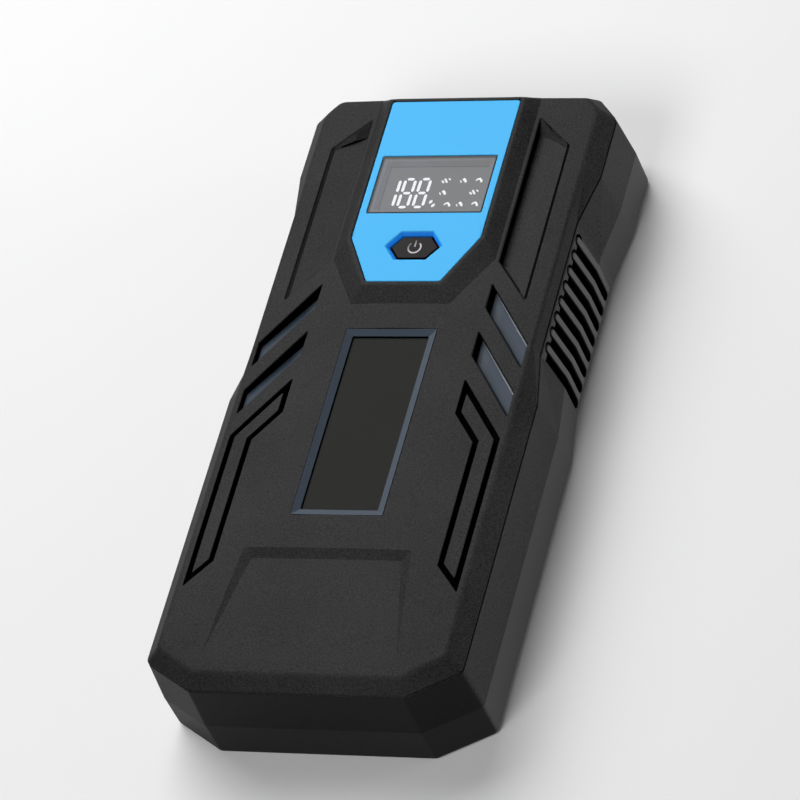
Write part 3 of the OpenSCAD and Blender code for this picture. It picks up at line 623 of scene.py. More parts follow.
class Shade:
    """One material's shader while it is written."""

    def __init__(self, name: str, store: bpy.types.bpy_prop_collection | None = None) -> None:
        """Starts an empty node material, or a world.

        Args:
            name: Its name.
            store: Where it is kept, among the materials if this is left out.
        """
        self.owner = (bpy.data.materials if store is None else store).new(name)
        self.owner.use_nodes = True
        self.tree = self.owner.node_tree
        self.tree.nodes.clear()
        self._place: Wire | None = None

    def node(self, kind: str, settings: dict[str, object], sockets: Sockets,
             out: str | int = 0) -> Wire:
        """Adds any node.

        Args:
            kind: Type of the node.
            settings: Its own settings, a ramp's stops among them.
            sockets: Values or links of its inputs, by name or number.
            out: The output that is returned.

        Returns:
            That output.
        """
        node = self.tree.nodes.new(kind)
        for key, value in settings.items():
            if key == "stops":
                while len(node.color_ramp.elements) < len(value):
                    node.color_ramp.elements.new(0.5)
                for stop, (position, tone) in zip(node.color_ramp.elements, value):
                    stop.position = position
                    stop.color = (*tone, 1.0)
            else:
                setattr(node, key, value)
        for key, value in sockets.items():
            target = node.inputs[key]
            if isinstance(value, Wire):
                self.tree.links.new(value.socket, target)
            elif isinstance(value, tuple) and len(value) == 3 and target.type == "RGBA":
                target.default_value = (*value, 1.0)
            else:
                target.default_value = value
        return Wire(self, node.outputs[out] if len(node.outputs) else None)

    @property
    def place(self) -> Wire:
        """Place on the piece, in metres of the frame.

        Returns:
            The coordinates, read once for all that use them.
        """
        if self._place is None:
            self._place = self.node("ShaderNodeTexCoord", {}, {}, "Object")
        return self._place

    def along(self, axis: str) -> Wire:
        """One coordinate of the place, in millimetres."""
        return self.node("ShaderNodeSeparateXYZ", {}, {0: self.place}, axis) * (1 / MM)

    def spot(self) -> tuple[Wire, Wire, Wire]:
        """Distance from the middle line, place along the case and height."""
        return abs(self.along("X")), self.along("Y"), self.along("Z")

    def facing(self, axis: str) -> Wire:
        """One coordinate of the surface's direction."""
        return self.node("ShaderNodeSeparateXYZ", {}, {
            0: self.node("ShaderNodeTexCoord", {}, {}, "Normal")}, axis)

    def noise(self, size: float, detail: float = 2.0, rough: float = 0.5,
              stretch: Place = (1.0, 1.0, 1.0)) -> Wire:
        """Cloudy pattern.

        Args:
            size: Size of a patch, in millimetres.
            detail: Number of finer patterns laid over it.
            rough: Strength of the finer patterns.
            stretch: Scale along each axis.

        Returns:
            Height of the pattern, from zero to one.
        """
        place = self.node("ShaderNodeMapping", {}, {"Vector": self.place, "Scale": stretch})
        return self.node("ShaderNodeTexNoise", {}, {
            "Vector": place, "Scale": 1 / (size * MM), "Detail": detail, "Roughness": rough})

    def ramp(self, factor: Wire, low: float, high: float) -> Wire:
        """Stretches a value so that low becomes zero and high becomes one, held there."""
        return self.node("ShaderNodeMapRange", {"clamp": True}, {
            "Value": factor, "From Min": low, "From Max": high})

    def mix(self, factor: Value, first: Value, second: Value) -> Wire:
        """Mixes two colours."""
        return self.node("ShaderNodeMix", {"data_type": "RGBA"},
                         {0: factor, 6: opaque(first), 7: opaque(second)}, 2)

    def bump(self, height: Wire, depth: float, strength: float = 1.0) -> Wire:
        """Turns a pattern into relief."""
        return self.node("ShaderNodeBump", {}, {
            "Height": height, "Distance": depth * MM, "Strength": strength})

    def principled(self, sockets: Sockets) -> Wire:
        """Adds a Principled surface."""
        return self.node("ShaderNodeBsdfPrincipled", {}, sockets)

    def mixed(self, factor: Wire, first: Wire, second: Wire) -> Wire:
        """Mixes two surfaces or backgrounds."""
        return self.node("ShaderNodeMixShader", {}, {0: factor, 1: first, 2: second})


def opaque(tone: Value) -> Value:
    """Gives a plain colour its alpha."""
    return (*tone, 1.0) if isinstance(tone, tuple) and len(tone) == 3 else tone


def srgb(red: float, green: float, blue: float) -> Colour:
    """Turns screen values from 0 to 255 into the light values that shaders use."""
    return tuple((v / 255 / 12.92) if v <= 10 else ((v / 255 + 0.055) / 1.055) ** 2.4
                 for v in (red, green, blue))


def scaled(tone: Colour, by: float) -> Colour:
    """Makes a colour lighter or darker."""
    return tuple(min(c * by, 1.0) for c in tone)


def boxed(x: Wire, y: Wire, box: tuple[float, float, float, float]) -> Wire:
    """One inside a box of lowest x, highest x, lowest y and highest y, else zero."""
    return (x > box[0]) * (x < box[1]) * (y > box[2]) * (y < box[3])


@dataclass(frozen=True)
class Finish:
    """What every finish has.

    Attributes:
        name: Name of the material.
        tone: Its colour.
        rough: Its roughness.
    """

    name: str
    tone: Colour
    rough: float

    def surface(self, shade: Shade) -> Sockets:
        """Values and links of the Principled surface."""
        raise NotImplementedError

    def make(self) -> bpy.types.Material:
        """Writes the material.

        Returns:
            The material.
        """
        shade = Shade(self.name)
        shade.node("ShaderNodeOutputMaterial", {}, {
            "Surface": shade.principled(self.surface(shade))})
        return shade.owner


@dataclass(frozen=True)
class Moulded(Finish):
    """Moulded plastic with a spark-eroded grain.

    Attributes:
        grain: Size of the grain in millimetres.
        depth: Depth of the grain in millimetres.
        fleck: How far the grain changes the colour.
        cloud: How far slow clouds change the colour.
        shine: Specular level.
    """

    grain: float = 0.35
    depth: float = 0.02
    fleck: float = 0.16
    cloud: float = 0.02
    shine: float = 0.125

    def marked(self, shade: Shade, tone: Wire) -> tuple[Wire, Wire | float]:
        """Adds what only some places show: a changed tone, and the share of painted shade, pitch
        dark.
        """
        return tone, 0.0

    def surface(self, shade: Shade) -> Sockets:
        """Grained surface with its marks.

        Args:
            shade: Node tree that is filled.

        Returns:
            Value or link for each input.
        """
        fine = shade.noise(self.grain, 3.0, 0.6)
        broad = shade.noise(26.0, 3.0, 0.55)
        fleck = shade.ramp(fine, 0.32, 0.68)
        tone = shade.mix(fleck, scaled(self.tone, 1 - self.fleck),
                         scaled(self.tone, 1 + self.fleck))
        tone = shade.mix(shade.ramp(broad, 0.3, 0.7) * self.cloud, tone, (0.5, 0.5, 0.5))
        tone, painted_shade = self.marked(shade, tone)
        # Painted shade: pitch black and metallic, so these places give off no light
        return {
            "Base Color": shade.mix(painted_shade, tone, PAINTED_SHADE_BLACK),
            "Metallic": painted_shade,
            "Roughness": self.rough + (broad - 0.5) * 0.12 + (fleck - 0.5) * 0.08 + painted_shade * 0.4,
            "Specular IOR Level": self.shine,
            "Normal": shade.bump(fine, self.depth, 0.6)}


@dataclass(frozen=True)
class FaceBlack(Moulded):
    """Plastic of the face, with painted shade that turns the walls and floors of its narrow
    recesses pitch dark.
    """

    top: float = 33.2
    crown: float = 634.0
    field: tuple[float, float, float, float] = (23.2, 38.0, -66.0, 86.0)
    side_edge: tuple[float, float, float, float] = (33.15, 34.15, 24.0, 77.0)

    def marked(self, shade: Shade, tone: Wire) -> tuple[Wire, Wire | float]:
        """Paints shade on the walls of the recesses, in the grooves and along the outer line of
        the sides.

        Args:
            shade: Node tree that is filled.
            tone: Colour without the marks.

        Returns:
            The changed colour, and the share of it that is painted shade, pitch dark.
        """
        x, y, z = shade.spot()
        depth = self.top - x * x / self.crown - z
        # Painted shade: steep recess walls, the grooves of the lower half, and a line along the
        # side recesses' outer edge, darker where it faces -x
        wall = shade.ramp(shade.facing("Z"), 0.6, 0.35) * shade.ramp(depth, 0.1, 0.4)
        groove = (y < 0.0) * (x > 30.0 - (y > -24.0) * 9.0) * shade.ramp(depth, 0.3, 0.7)
        line = (boxed(x, y, self.side_edge) * shade.ramp(depth, 0.03, 0.12)
                * (0.5 + (shade.facing("X") < 0.0) * 0.42))
        dark = wall.at_least(groove).at_least(line)
        return tone, boxed(x, y, self.field) * dark * PAINTED_SHADE_SHARE


@dataclass(frozen=True)
class SideBlack(Moulded):
    """Plastic of the sides, with painted shade between the grip ribs and on faces turned to the
    lower end, a painted highlight on the rib crests and painted light on the band under the
    ridge.
    """

    # Painted highlight for the rib crests, painted light for the band under the ridge, painted
    # shade for faces turned to the lower end
    painted_crest_highlight: Colour = (0.14, 0.14, 0.14)
    low: Colour = (0.1, 0.1, 0.1)
    shaded: Colour = (0.003, 0.003, 0.003)
    crest: float = 42.2
    ridge: float = 12.3
    lean: float = 0.1543
    ribs: tuple[float, float, float, float] = (10.7, 51.3, 1.5, 25.7)
    waist: float = 37.5

    def marked(self, shade: Shade, tone: Wire) -> tuple[Wire, Wire | float]:
        """Paints shade in the gaps between the ribs and on faces turned to the lower end, a
        highlight on the rib crests and light on the band under the ridge.

        Args:
            shade: Node tree that is filled.
            tone: Colour without the marks.

        Returns:
            The changed colour, and the share of it that is painted shade, pitch dark.
        """
        x, y, z = shade.spot()
        depth = self.crest - (z - self.ridge).at_least(0.0) * self.lean - x
        grip = (x > self.waist) * boxed(y, z, self.ribs)
        crest = grip * (1 - shade.ramp(depth, -0.1, 0.0))
        # Painted light on the band under the ridge, painted highlight on the rib crests, painted
        # shade on faces turned to the lower end
        for share, other in ((shade.ramp(z, 12.45, 12.2) * 0.6, self.low),
                             (crest * 0.85, self.painted_crest_highlight),
                             (shade.ramp(shade.facing("Y"), -0.35, -0.65) * 0.85, self.shaded)):
            tone = shade.mix(share, tone, other)
        # Painted shade, pitch dark, in the gaps between the ribs
        return tone, grip * shade.ramp(depth, 0.1, 0.5) * PAINTED_SHADE_SHARE


@dataclass(frozen=True)
class TrimSlate(Moulded):
    """Slate plastic of the inserts and the frame, with a painted highlight on the inserts'
    edges, painted light on their inner ends and on the frame's lower and right slopes, and
    painted shade on its left slope and on upright walls.
    """

    # Painted highlight (edge), painted light (pale) and painted shade (dark)
    edge: Colour = (0.42, 0.45, 0.5)
    pale: Colour = (0.5, 0.55, 0.6)
    dark: Colour = (0.008, 0.01, 0.014)

    def marked(self, shade: Shade, tone: Wire) -> tuple[Wire, Wire | float]:
        """Paints a highlight on the inserts' edges, light on their inner ends and on the frame's
        lower and right slopes, and shade on the frame's left slope and on upright walls.

        Args:
            shade: Node tree that is filled.
            tone: Colour without the marks.

        Returns:
            The changed colour, and the share of it that is painted shade, pitch dark.
        """
        x, z, up = abs(shade.along("X")), shade.along("Z"), shade.facing("Z")
        low, side = z < 29.5, shade.facing("X")
        # Painted highlight on the inserts' chamfers that face +x
        rim = low * shade.ramp(up, 0.98, 0.9) * (side > 0.12) * (side < 0.58)
        frame = z > 30.0
        lit, shaded = shade.facing("Y") - side, shade.ramp(side, 0.15, 0.4)
        # Painted light where the slot wall's shadow falls on the inserts' inner ends and on
        # frame slopes facing +y or -x; painted shade on frame slopes facing +x
        for share, other in ((low * shade.ramp(x, 28.0, 24.6) * 0.12, self.pale),
                             (rim, self.edge),
                             (frame * shade.ramp(lit, 0.15, 0.4) * 0.09, self.pale),
                             (frame * shaded * 0.4, self.dark)):
            tone = shade.mix(share, tone, other)
        # Painted shade, pitch dark, on upright walls
        return tone, shade.ramp(up, 0.45, 0.25) * PAINTED_SHADE_SHARE


@dataclass(frozen=True)
class PanelBlue(Moulded):
    """Blue plastic, with a painted deeper blue in the funnel round the button for the shade and
    blue bounce light on its walls.
    """

    # Painted shade and blue bounce light of the funnel's walls
    painted_bounce_blue: Colour = (0.012, 0.27, 1.0)

    def marked(self, shade: Shade, tone: Wire) -> tuple[Wire, Wire | float]:
        """Paints the funnel a deeper blue, for the shade and blue bounce light on its walls.

        Args:
            shade: Node tree that is filled.
            tone: Colour without the marks.

        Returns:
            The changed colour, and the share of it that stays pitch dark.
        """
        x, y, z = shade.spot()
        funnel = (x < 9.0) * (abs(y - 40.0) < 5.2) * shade.ramp(z, 34.8, 34.4)
        return shade.mix(funnel, tone, self.painted_bounce_blue), 0.0


@dataclass(frozen=True)
class CapBlack(Moulded):
    """Plastic of the button, with painted shade, pitch dark, on its walls round its face."""

    def marked(self, shade: Shade, tone: Wire) -> tuple[Wire, Wire | float]:
        """Paints shade, pitch dark, on the walls."""
        return tone, shade.ramp(shade.facing("Z"), 0.8, 0.6) * PAINTED_SHADE_SHARE


@dataclass(frozen=True)
class MarkSilver(Moulded):
    """Silver paint with a painted sheen, darker towards the upper left and lighter towards the
    lower right.
    """

    # Painted sheen: the mark runs into this darker silver at its upper left
    dark: Colour = srgb(96, 96, 98)

    def marked(self, shade: Shade, tone: Wire) -> tuple[Wire, Wire | float]:
        """Paints a sheen that darkens the mark's upper left side."""
        way = shade.along("X") - shade.along("Y") + 40.0
        return shade.mix(shade.ramp(way, 0.8, -2.2), tone, self.dark), 0.0


@dataclass(frozen=True)
class ScreenGrey(Moulded):
    """Grey of the display and its border, with two faint lines of painted reflection."""

    # Painted reflection of the glass along the window's top and left edges
    painted_reflection_tint: Colour = srgb(150, 148, 182)

    def marked(self, shade: Shade, tone: Wire) -> tuple[Wire, Wire | float]:
        """Paints a faint reflection line along the top and one along the left edge.

        Args:
            shade: Node tree that is filled.
            tone: Colour without the marks.

        Returns:
            The changed colour, and the share of it that stays pitch dark.
        """
        x, y = shade.along("X"), shade.along("Y")
        top = shade.ramp(abs(y - 67.8), 1.1, 0.5) * shade.ramp(x, -1.0, -3.5)
        side = shade.ramp(abs(x + 14.6), 0.8, 0.3) * shade.ramp(y, 69.0, 68.0)
        line = (top * shade.ramp(x, -12.0, -10.8)).at_least(side)
        return shade.mix(line * 0.55, tone, self.painted_reflection_tint), 0.0


@dataclass(frozen=True)
class Gloss(Finish):
    """Smooth plastic with faint ripples and dust.

    Attributes:
        coat: Weight of the clear coat.
        dust: Share of the dusty flecks.
        shine: Specular level.
    """

    coat: float = 0.3
    dust: float = 0.04
    shine: float = 0.5

    def surface(self, shade: Shade) -> Sockets:
        """Rippled surface under its dust.

        Args:
            shade: Node tree that is filled.

        Returns:
            Value or link for each input.
        """
        ripple = shade.noise(9.0, 2.0)
        dust = shade.ramp(shade.noise(0.6, 4.0, 0.7), 0.6, 0.78)
        tone = shade.mix(dust * self.dust, self.tone, (0.6, 0.6, 0.58))
        return {
            "Base Color": shade.mix(shade.ramp(ripple, 0.3, 0.7) * 0.08, tone,
                                    scaled(self.tone, 1.5)),
            "Roughness": self.rough + ripple * 0.06 + dust * 0.2,
            "Coat Weight": self.coat,
            "Coat Roughness": 0.08,
            "Specular IOR Level": self.shine,
            "Normal": shade.bump(ripple, 0.004, 0.25)}


@dataclass(frozen=True)
class Metal(Finish):
    """Bare or plated metal with drawing lines.

    Attributes:
        lines: Size of the lines in millimetres.
        stretch: Factors that turn the clouds into lines.
    """

    lines: float = 0.25
    stretch: Place = (1.0, 1.0, 0.04)

    def surface(self, shade: Shade) -> Sockets:
        """Drawn surface with its stains.

        Args:
            shade: Node tree that is filled.

        Returns:
            Value or link for each input.
        """
        lines = shade.noise(self.lines, 4.0, 0.6, self.stretch)
        stain = shade.noise(5.0, 3.0, 0.6)
        tone = shade.mix(shade.ramp(lines, 0.35, 0.65), scaled(self.tone, 0.82), self.tone)
        return {
            "Base Color": shade.mix(shade.ramp(stain, 0.55, 0.8) * 0.2, tone,
                                    scaled(self.tone, 0.55)),
            "Metallic": 1.0,
            "Roughness": self.rough + lines * 0.14,
            "Normal": shade.bump(lines, 0.01, 0.4)}


@dataclass(frozen=True)
class Laminate(Finish):
    """Circuit board with a solder mask, its weave and its tracks.

    Attributes:
        track: Colour of the tracks under the mask.
    """

    track: Colour = (0.02, 0.16, 0.08)

    def surface(self, shade: Shade) -> Sockets:
        """Tracks and weave under the mask.

        Args:
            shade: Node tree that is filled.

        Returns:
            Value or link for each input.
        """
        brick = shade.node("ShaderNodeTexBrick", {"offset": 0.35}, {
            "Vector": shade.place, "Scale": 160.0, "Mortar Size": 0.08,
            "Color1": (1, 1, 1, 1), "Color2": (0.75, 0.75, 0.75, 1), "Mortar": (0, 0, 0, 1)}, 1)
        weave = shade.noise(0.4, 2.0)
        return {
            "Base Color": shade.mix(brick, self.tone, self.track),
            "Roughness": self.rough + weave * 0.15,
            "Coat Weight": 0.3,
            "Normal": shade.bump(brick * 0.7 + weave * 0.3, 0.03, 0.4)}


@dataclass(frozen=True)
class Soft(Finish):
    """Rubber, sleeve, foam or film with a soft pore.

    Attributes:
        pore: Size of the pores in millimetres.
        depth: Depth of the pores in millimetres.
    """

    pore: float = 0.5
    depth: float = 0.03

    def surface(self, shade: Shade) -> Sockets:
        """Porous surface.

        Args:
            shade: Node tree that is filled.

        Returns:
            Value or link for each input.
        """
        cells = shade.node("ShaderNodeTexVoronoi", {}, {
            "Vector": shade.place, "Scale": 1 / (self.pore * MM)}, 0)
        cloud = shade.noise(8.0, 3.0)
        return {
            "Base Color": shade.mix(shade.ramp(cells, 0.2, 0.7), self.tone,
                                    scaled(self.tone, 1.25)),
            "Roughness": self.rough + (cloud - 0.5) * 0.15,
            "Normal": shade.bump(cells, self.depth, 0.5)}


@dataclass(frozen=True)
class Clear(Finish):
    """Clear cover or lens.

    Attributes:
        haze: How much of its own colour it shows.
        shine: Specular level.
        cut_edge: Colour of the opaque border.
    """

    haze: float = 0.15
    shine: float = 0.5
    cut_edge: Colour = (0.035, 0.033, 0.034)

    def rim(self, shade: Shade) -> Wire | float:
        """Share of the opaque border, zero where there is none."""
        return 0.0

    def surface(self, shade: Shade) -> Sockets:
        """Smeared surface with its border.

        Args:
            shade: Node tree that is filled.

        Returns:
            Value or link for each input.
        """
        smear = shade.noise(6.0, 3.0, 0.6)
        rim = self.rim(shade)
        tone = shade.mix(smear * 0.3, self.tone, scaled(self.tone, 1.2))
        return {
            "Base Color": shade.mix(rim, tone, self.cut_edge),
            "Roughness": self.rough + smear * 0.05,
            "Alpha": self.haze + (1 - self.haze) * rim,
            "Specular IOR Level": self.shine}

    def make(self) -> bpy.types.Material:
        """Writes the material and lets light through it.

        Returns:
            The material.
        """
        material = super().make()
        material.surface_render_method = "BLENDED"
        return material


@dataclass(frozen=True)
class WindowClear(Clear):
    """Clear window whose edge is opaque, as the cut edge of a sheet is."""

    def rim(self, shade: Shade) -> Wire | float:
        """Share of the opaque border."""
        x, y = abs(shade.along("X")), abs(shade.along("Y") - 60.3)
        return (x > 15.95).at_least(y > 9.15)


@dataclass(frozen=True)
class Lit(Finish):
    """Lit segment of the display.

    Attributes:
        glow: Strength of its light.
    """

    glow: float = 0.6

    def surface(self, shade: Shade) -> Sockets:
        """Glowing surface, a little uneven.

        Args:
            shade: Node tree that is filled.

        Returns:
            Value or link for each input.
        """
        uneven = shade.noise(0.8, 2.0)
        tone = shade.mix(uneven, scaled(self.tone, 0.9), self.tone)
        return {
            "Base Color": tone,
            "Roughness": self.rough + uneven * 0.1,
            "Emission Color": tone,
            "Emission Strength": self.glow}


class Palette:
    """Every finish of the pack, made once and handed out by name."""

    FINISHES: tuple[Finish, ...] = (
        FaceBlack("face_black", srgb(37, 37, 37), 0.5, fleck=0.7, grain=0.42, depth=0.15,
                  shine=0.075),
        SideBlack("side_black", srgb(46, 46, 46), 0.5, fleck=0.7, grain=0.42, depth=0.15,
                  shine=0.09),
        PanelBlue("panel_blue", srgb(70, 182, 243), 0.5, grain=0.3, depth=0.01, fleck=0.04,
                  cloud=0.005),
        CapBlack("button_black", srgb(36, 33, 32), 0.5, grain=0.25, depth=0.01, shine=0.05),
        TrimSlate("trim_slate", srgb(52, 63, 76), 0.4, grain=0.25, depth=0.008, fleck=0.08,
                  cloud=0.01, shine=0.1),
        Gloss("plate_gloss", srgb(28, 28, 26), 0.45, coat=0.0, dust=0.015, shine=0.06),
        WindowClear("window_clear", srgb(150, 151, 154), 0.3, haze=0.3, shine=0.1),
        ScreenGrey("screen_grey", srgb(130, 130, 131), 0.6, grain=0.2, depth=0.004,
                   fleck=0.03, cloud=0.02),
        ScreenGrey("border_grey", srgb(136, 136, 139), 0.6, grain=0.2, depth=0.004,
                   fleck=0.03, cloud=0.02),
        Moulded("screen_dark", srgb(84, 84, 86), 0.6, grain=0.2, depth=0.004, fleck=0.03,
                cloud=0.02),
        Lit("segment_white", srgb(250, 252, 255), 0.4, glow=1.0),
        MarkSilver("mark_silver", srgb(186, 186, 188), 0.45, grain=0.2, depth=0.004, fleck=0.05,
                   shine=0.3),
        Moulded("plunger_ivory", srgb(205, 204, 196), 0.5, grain=0.3),
        Moulded("switch_black", srgb(36, 36, 38), 0.45, grain=0.2),
        Laminate("board_green", srgb(20, 74, 44), 0.4),
        Laminate("torch_white", srgb(222, 222, 214), 0.45, track=srgb(190, 190, 182)),
        Metal("cell_foil", srgb(150, 158, 168), 0.38, lines=1.4, stretch=(1.0, 0.2, 1.0)),
        Soft("pad_foam", srgb(70, 70, 72), 0.9, pore=0.7, depth=0.12),
        Metal("tab_nickel", srgb(196, 194, 186), 0.3),
        Moulded("ferrite_grey", srgb(62, 62, 66), 0.7, grain=0.5, depth=0.05),
        Gloss("sleeve_black", srgb(26, 28, 34), 0.35),
        Gloss("chip_black", srgb(24, 24, 25), 0.5, coat=0.0),
        Soft("lead_red", srgb(176, 26, 22), 0.5),
        Soft("lead_black", srgb(22, 22, 23), 0.5),
        Gloss("ribbon_film", srgb(190, 142, 78), 0.35),
        Moulded("socket_blue", srgb(24, 78, 196), 0.45, grain=0.3, depth=0.01, fleck=0.06,
                cloud=0.02),
        Metal("contact_brass", srgb(222, 182, 92), 0.25),
        Metal("port_steel", srgb(190, 192, 196), 0.28),
        Clear("lens_clear", srgb(226, 236, 242), 0.05, haze=0.14),
        Metal("reflector_chrome", srgb(226, 228, 232), 0.12),
        Metal("screw_steel", srgb(118, 120, 124), 0.35),
        Soft("cover_rubber", srgb(38, 38, 39), 0.68, pore=0.35, depth=0.012),
    )

    def __init__(self) -> None:
        """Makes all the materials."""
        self.made = {finish.name: finish.make() for finish in self.FINISHES}

    def dress(self, piece: Piece, name: str) -> None:
        """Gives a piece one finish all over.

        Args:
            piece: New piece or CAD node.
            name: Name of the finish.
        """
        if not piece.material_slots:
            piece.data.materials.append(self.made[name])
        for material_slot in piece.material_slots:
            material_slot.material = self.made[name]


@dataclass
class Workshop:
    """What every sub-assembly is built with.

    Attributes:
        bench: The modelling tools.
        palette: The finishes.
        nodes: The CAD nodes by name.
    """

    bench: Bench
    palette: Palette
    nodes: dict[str, Piece]

    def settle(self, piece: Piece, body: Body, finish: str, slot: str,
               replaces: Sequence[str] = ()) -> None:
        """Dresses a finished piece and lets it ride on its body.

        Args:
            piece: The piece.
            body: The body it rides on.
            finish: Name of its finish.
            slot: Material slot of the record; not used.
            replaces: CAD nodes that it stands for.
        """
        self.palette.dress(piece, finish)
        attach(piece, body.value)
        if replaces:
            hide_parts(*replaces)
        LOG.info("built %s", piece.name)


# ---------------------------------------------------------------- outlines of the case


@dataclass(frozen=True)
class CaseShape:
    """Sizes that the two shells and the trim share.

    Attributes:
        half_w: Half width of the outline at the shell line.
        half_len: Half length of the outline at the shell line.
        ridge_out: How far the ridge stands out of that outline.
        ridge_h: Height of the ridge.
        part_h: Height of the shell line.
        band_h: Height of the upright band over it.
        face_h: Height of the face in the middle.
        crown_r: Radius of the crown across the face.
        slope_y: Where the face starts to fall to the lower end.
        slope: Fall of that part, as a share.
        bevel_run: Inset of the bevel for each millimetre of height.
        top_run: The same at the display end.
        dent: Depth of the waist at the shell line.
        low_dent: Depth of the waist at the ridge and below it.
        corner: Radius of the corners seen from above.
        end_corner: The same for the face's corners at the display end.
    """

    half_w: float = 43.0
    half_len: float = 94.1
    ridge_out: float = 1.1
    ridge_h: float = 12.3
    part_h: float = 26.8
    band_h: float = 0.3
    face_h: float = 33.2
    crown_r: float = 317.0
    slope_y: float = -47.2
    slope: float = math.tan(math.radians(3.7))
    bevel_run: float = 3.8 / 3.7
    top_run: float = 2.2 / 3.7
    dent: float = 3.0
    low_dent: float = 1.9
    corner: float = 2.2
    end_corner: float = 4.0

    @property
    def band_top(self) -> float:
        """Height at which the bevel starts."""
        return self.part_h + self.band_h

    def outline(self, top: float, dent: float) -> list[Point]:
        """Outline of the case, seen from above.

        Args:
            top: Half length towards the display end.
            dent: Depth of the waist.

        Returns:
            Sixteen corners, counter-clockwise.
        """
        w, low = self.half_w, self.half_len
        right = [(w - 13.7, -low), (w, -low + 7.9), (w, -4.7), (w - dent, 10.5),
                 (w - dent, 53.5), (w, 68.7), (w, top - 6.5), (w - 6, top)]
        return right + [(-x, y) for x, y in reversed(right)]

    def ring(self, out: float, radius: float = 0.0, dent: float = 3.0) -> list[Point]:
        """The shell line's outline, moved outwards and with round corners."""
        return rounded(grown(self.outline(self.half_len, dent), out), radius or self.corner)

    def rise(self, height: float) -> float:
        """Share of the way from the ridge up to the shell line."""
        return max(height - self.ridge_h, 0.0) / (self.part_h - self.ridge_h)

    def lean(self, height: float) -> float:
        """How far the side stands out of the shell line's outline at a height."""
        return self.ridge_out * (1 - self.rise(height))

    def crown(self, x: float) -> float:
        """Height of the crown at a distance from the middle."""
        return self.face_h - self.crown_r + math.sqrt(self.crown_r ** 2 - x * x)

    def face(self, x: float, y: float) -> float:
        """Height of the face, where the crown runs softly into the slope.

        Args:
            x: Distance from the middle.
            y: Distance along the case.

        Returns:
            The height in millimetres.
        """
        crown = self.crown(x)
        fall = self.face_h - max(self.slope_y - y, -20.0) * self.slope
        blend = 0.5
        near = max(blend - abs(crown - fall), 0.0) / blend
        return min(crown, fall) - near * near * blend / 4

    def drop(self, x: float, y: float) -> float:
        """How far the face lies under its highest line."""
        return self.face_h - self.face(x, y)

    def bevel_corner(self, index: int) -> Point:
        """Where the bevel's upper edge has one of the outline's corners.

        Args:
            index: Number of the corner in the outline.

        Returns:
            The corner.
        """
        height = self.face_h - 2
        spot: Point = (0.0, 0.0)
        for _ in range(4):
            up = height - self.band_top
            top = self.half_len + up * (self.bevel_run - self.top_run)
            spot = grown(self.outline(top, 0.0), -up * self.bevel_run)[index]
            height = self.face(*spot)
        return spot

    def upper_edge(self) -> list[Point]:
        """Upper edge of the bevel on a face that is still flat.

        Returns:
            Corners of the edge.
        """
        end = self.half_len - (self.face_h - self.band_top) * self.top_run
        corners = [self.bevel_corner(i) for i in range(16)]
        corners[7] = (corners[7][0], end)
        corners[8] = (corners[8][0], end)
        return corners


CASE = CaseShape()

PLATEAU_H = 35.0
TOP_END = 95.2
FOOT = [(-13.8, 22.3), (13.8, 22.3), (22.9, 37.3), (22.9, TOP_END), (-22.9, TOP_END),
        (-22.9, 37.3)]
RIM = [(-11.0, 27.1), (11.0, 27.1), (19.5, 42.1), (19.5, TOP_END), (-19.5, TOP_END),
       (-19.5, 42.1)]
PANEL = [(-10.4, 28.3), (10.4, 28.3), (18.3, 42.7), (18.3, 88.3), (-18.3, 88.3),
         (-18.3, 42.7)]
PANEL_SEAT = 33.05
PANEL_TOP = 34.85
BUTTON_Y = 40.0
WINDOW_Y = 60.3
TORCH = (-26.6, 12.3)
HINGE = (34.0, 93.65)


def hexagon(width: float, flat: float, length: float) -> list[Point]:
    """Six-sided outline with points to the left and right, at the button.

    Args:
        width: Distance between its two points.
        flat: Width of its upper and lower edge.
        length: Distance between those edges.

    Returns:
        Corners, counter-clockwise from the lower left.
    """
    half = length / 2
    return [(-flat / 2, BUTTON_Y - half), (flat / 2, BUTTON_Y - half),
            (width / 2, BUTTON_Y), (flat / 2, BUTTON_Y + half),
            (-flat / 2, BUTTON_Y + half), (-width / 2, BUTTON_Y)]


BUTTON = hexagon(13.6, 8.0, 7.2)
SLOTS = [turned([(24.0, y), (37.6, y - 18.1), (37.6, y - 25.6), (24.0, y - 7.6)])
         for y in (29.3, 14.0)]
SIDE = turned([(24.0, 36.6), (24.0, 84.6), (34.0, 75.5), (34.0, 24.5)])
SIDE_FOOT = turned([(24.0, 37.4), (24.0, 80.5), (33.2, 75.1), (33.2, 26.2)])
KNEE = turned([(24.75, -3.25), (36.75, -18.86), (36.75, -63.55), (31.45, -57.7),
               (31.45, -20.05), (24.75, -11.58)])
NAME_W, NAME_LEN, NAME_Y = 25.2, 58.4, -15.0
NAME_SEAT, NAME_RIM = 31.15, 32.95


# ---------------------------------------------------------------- front shell


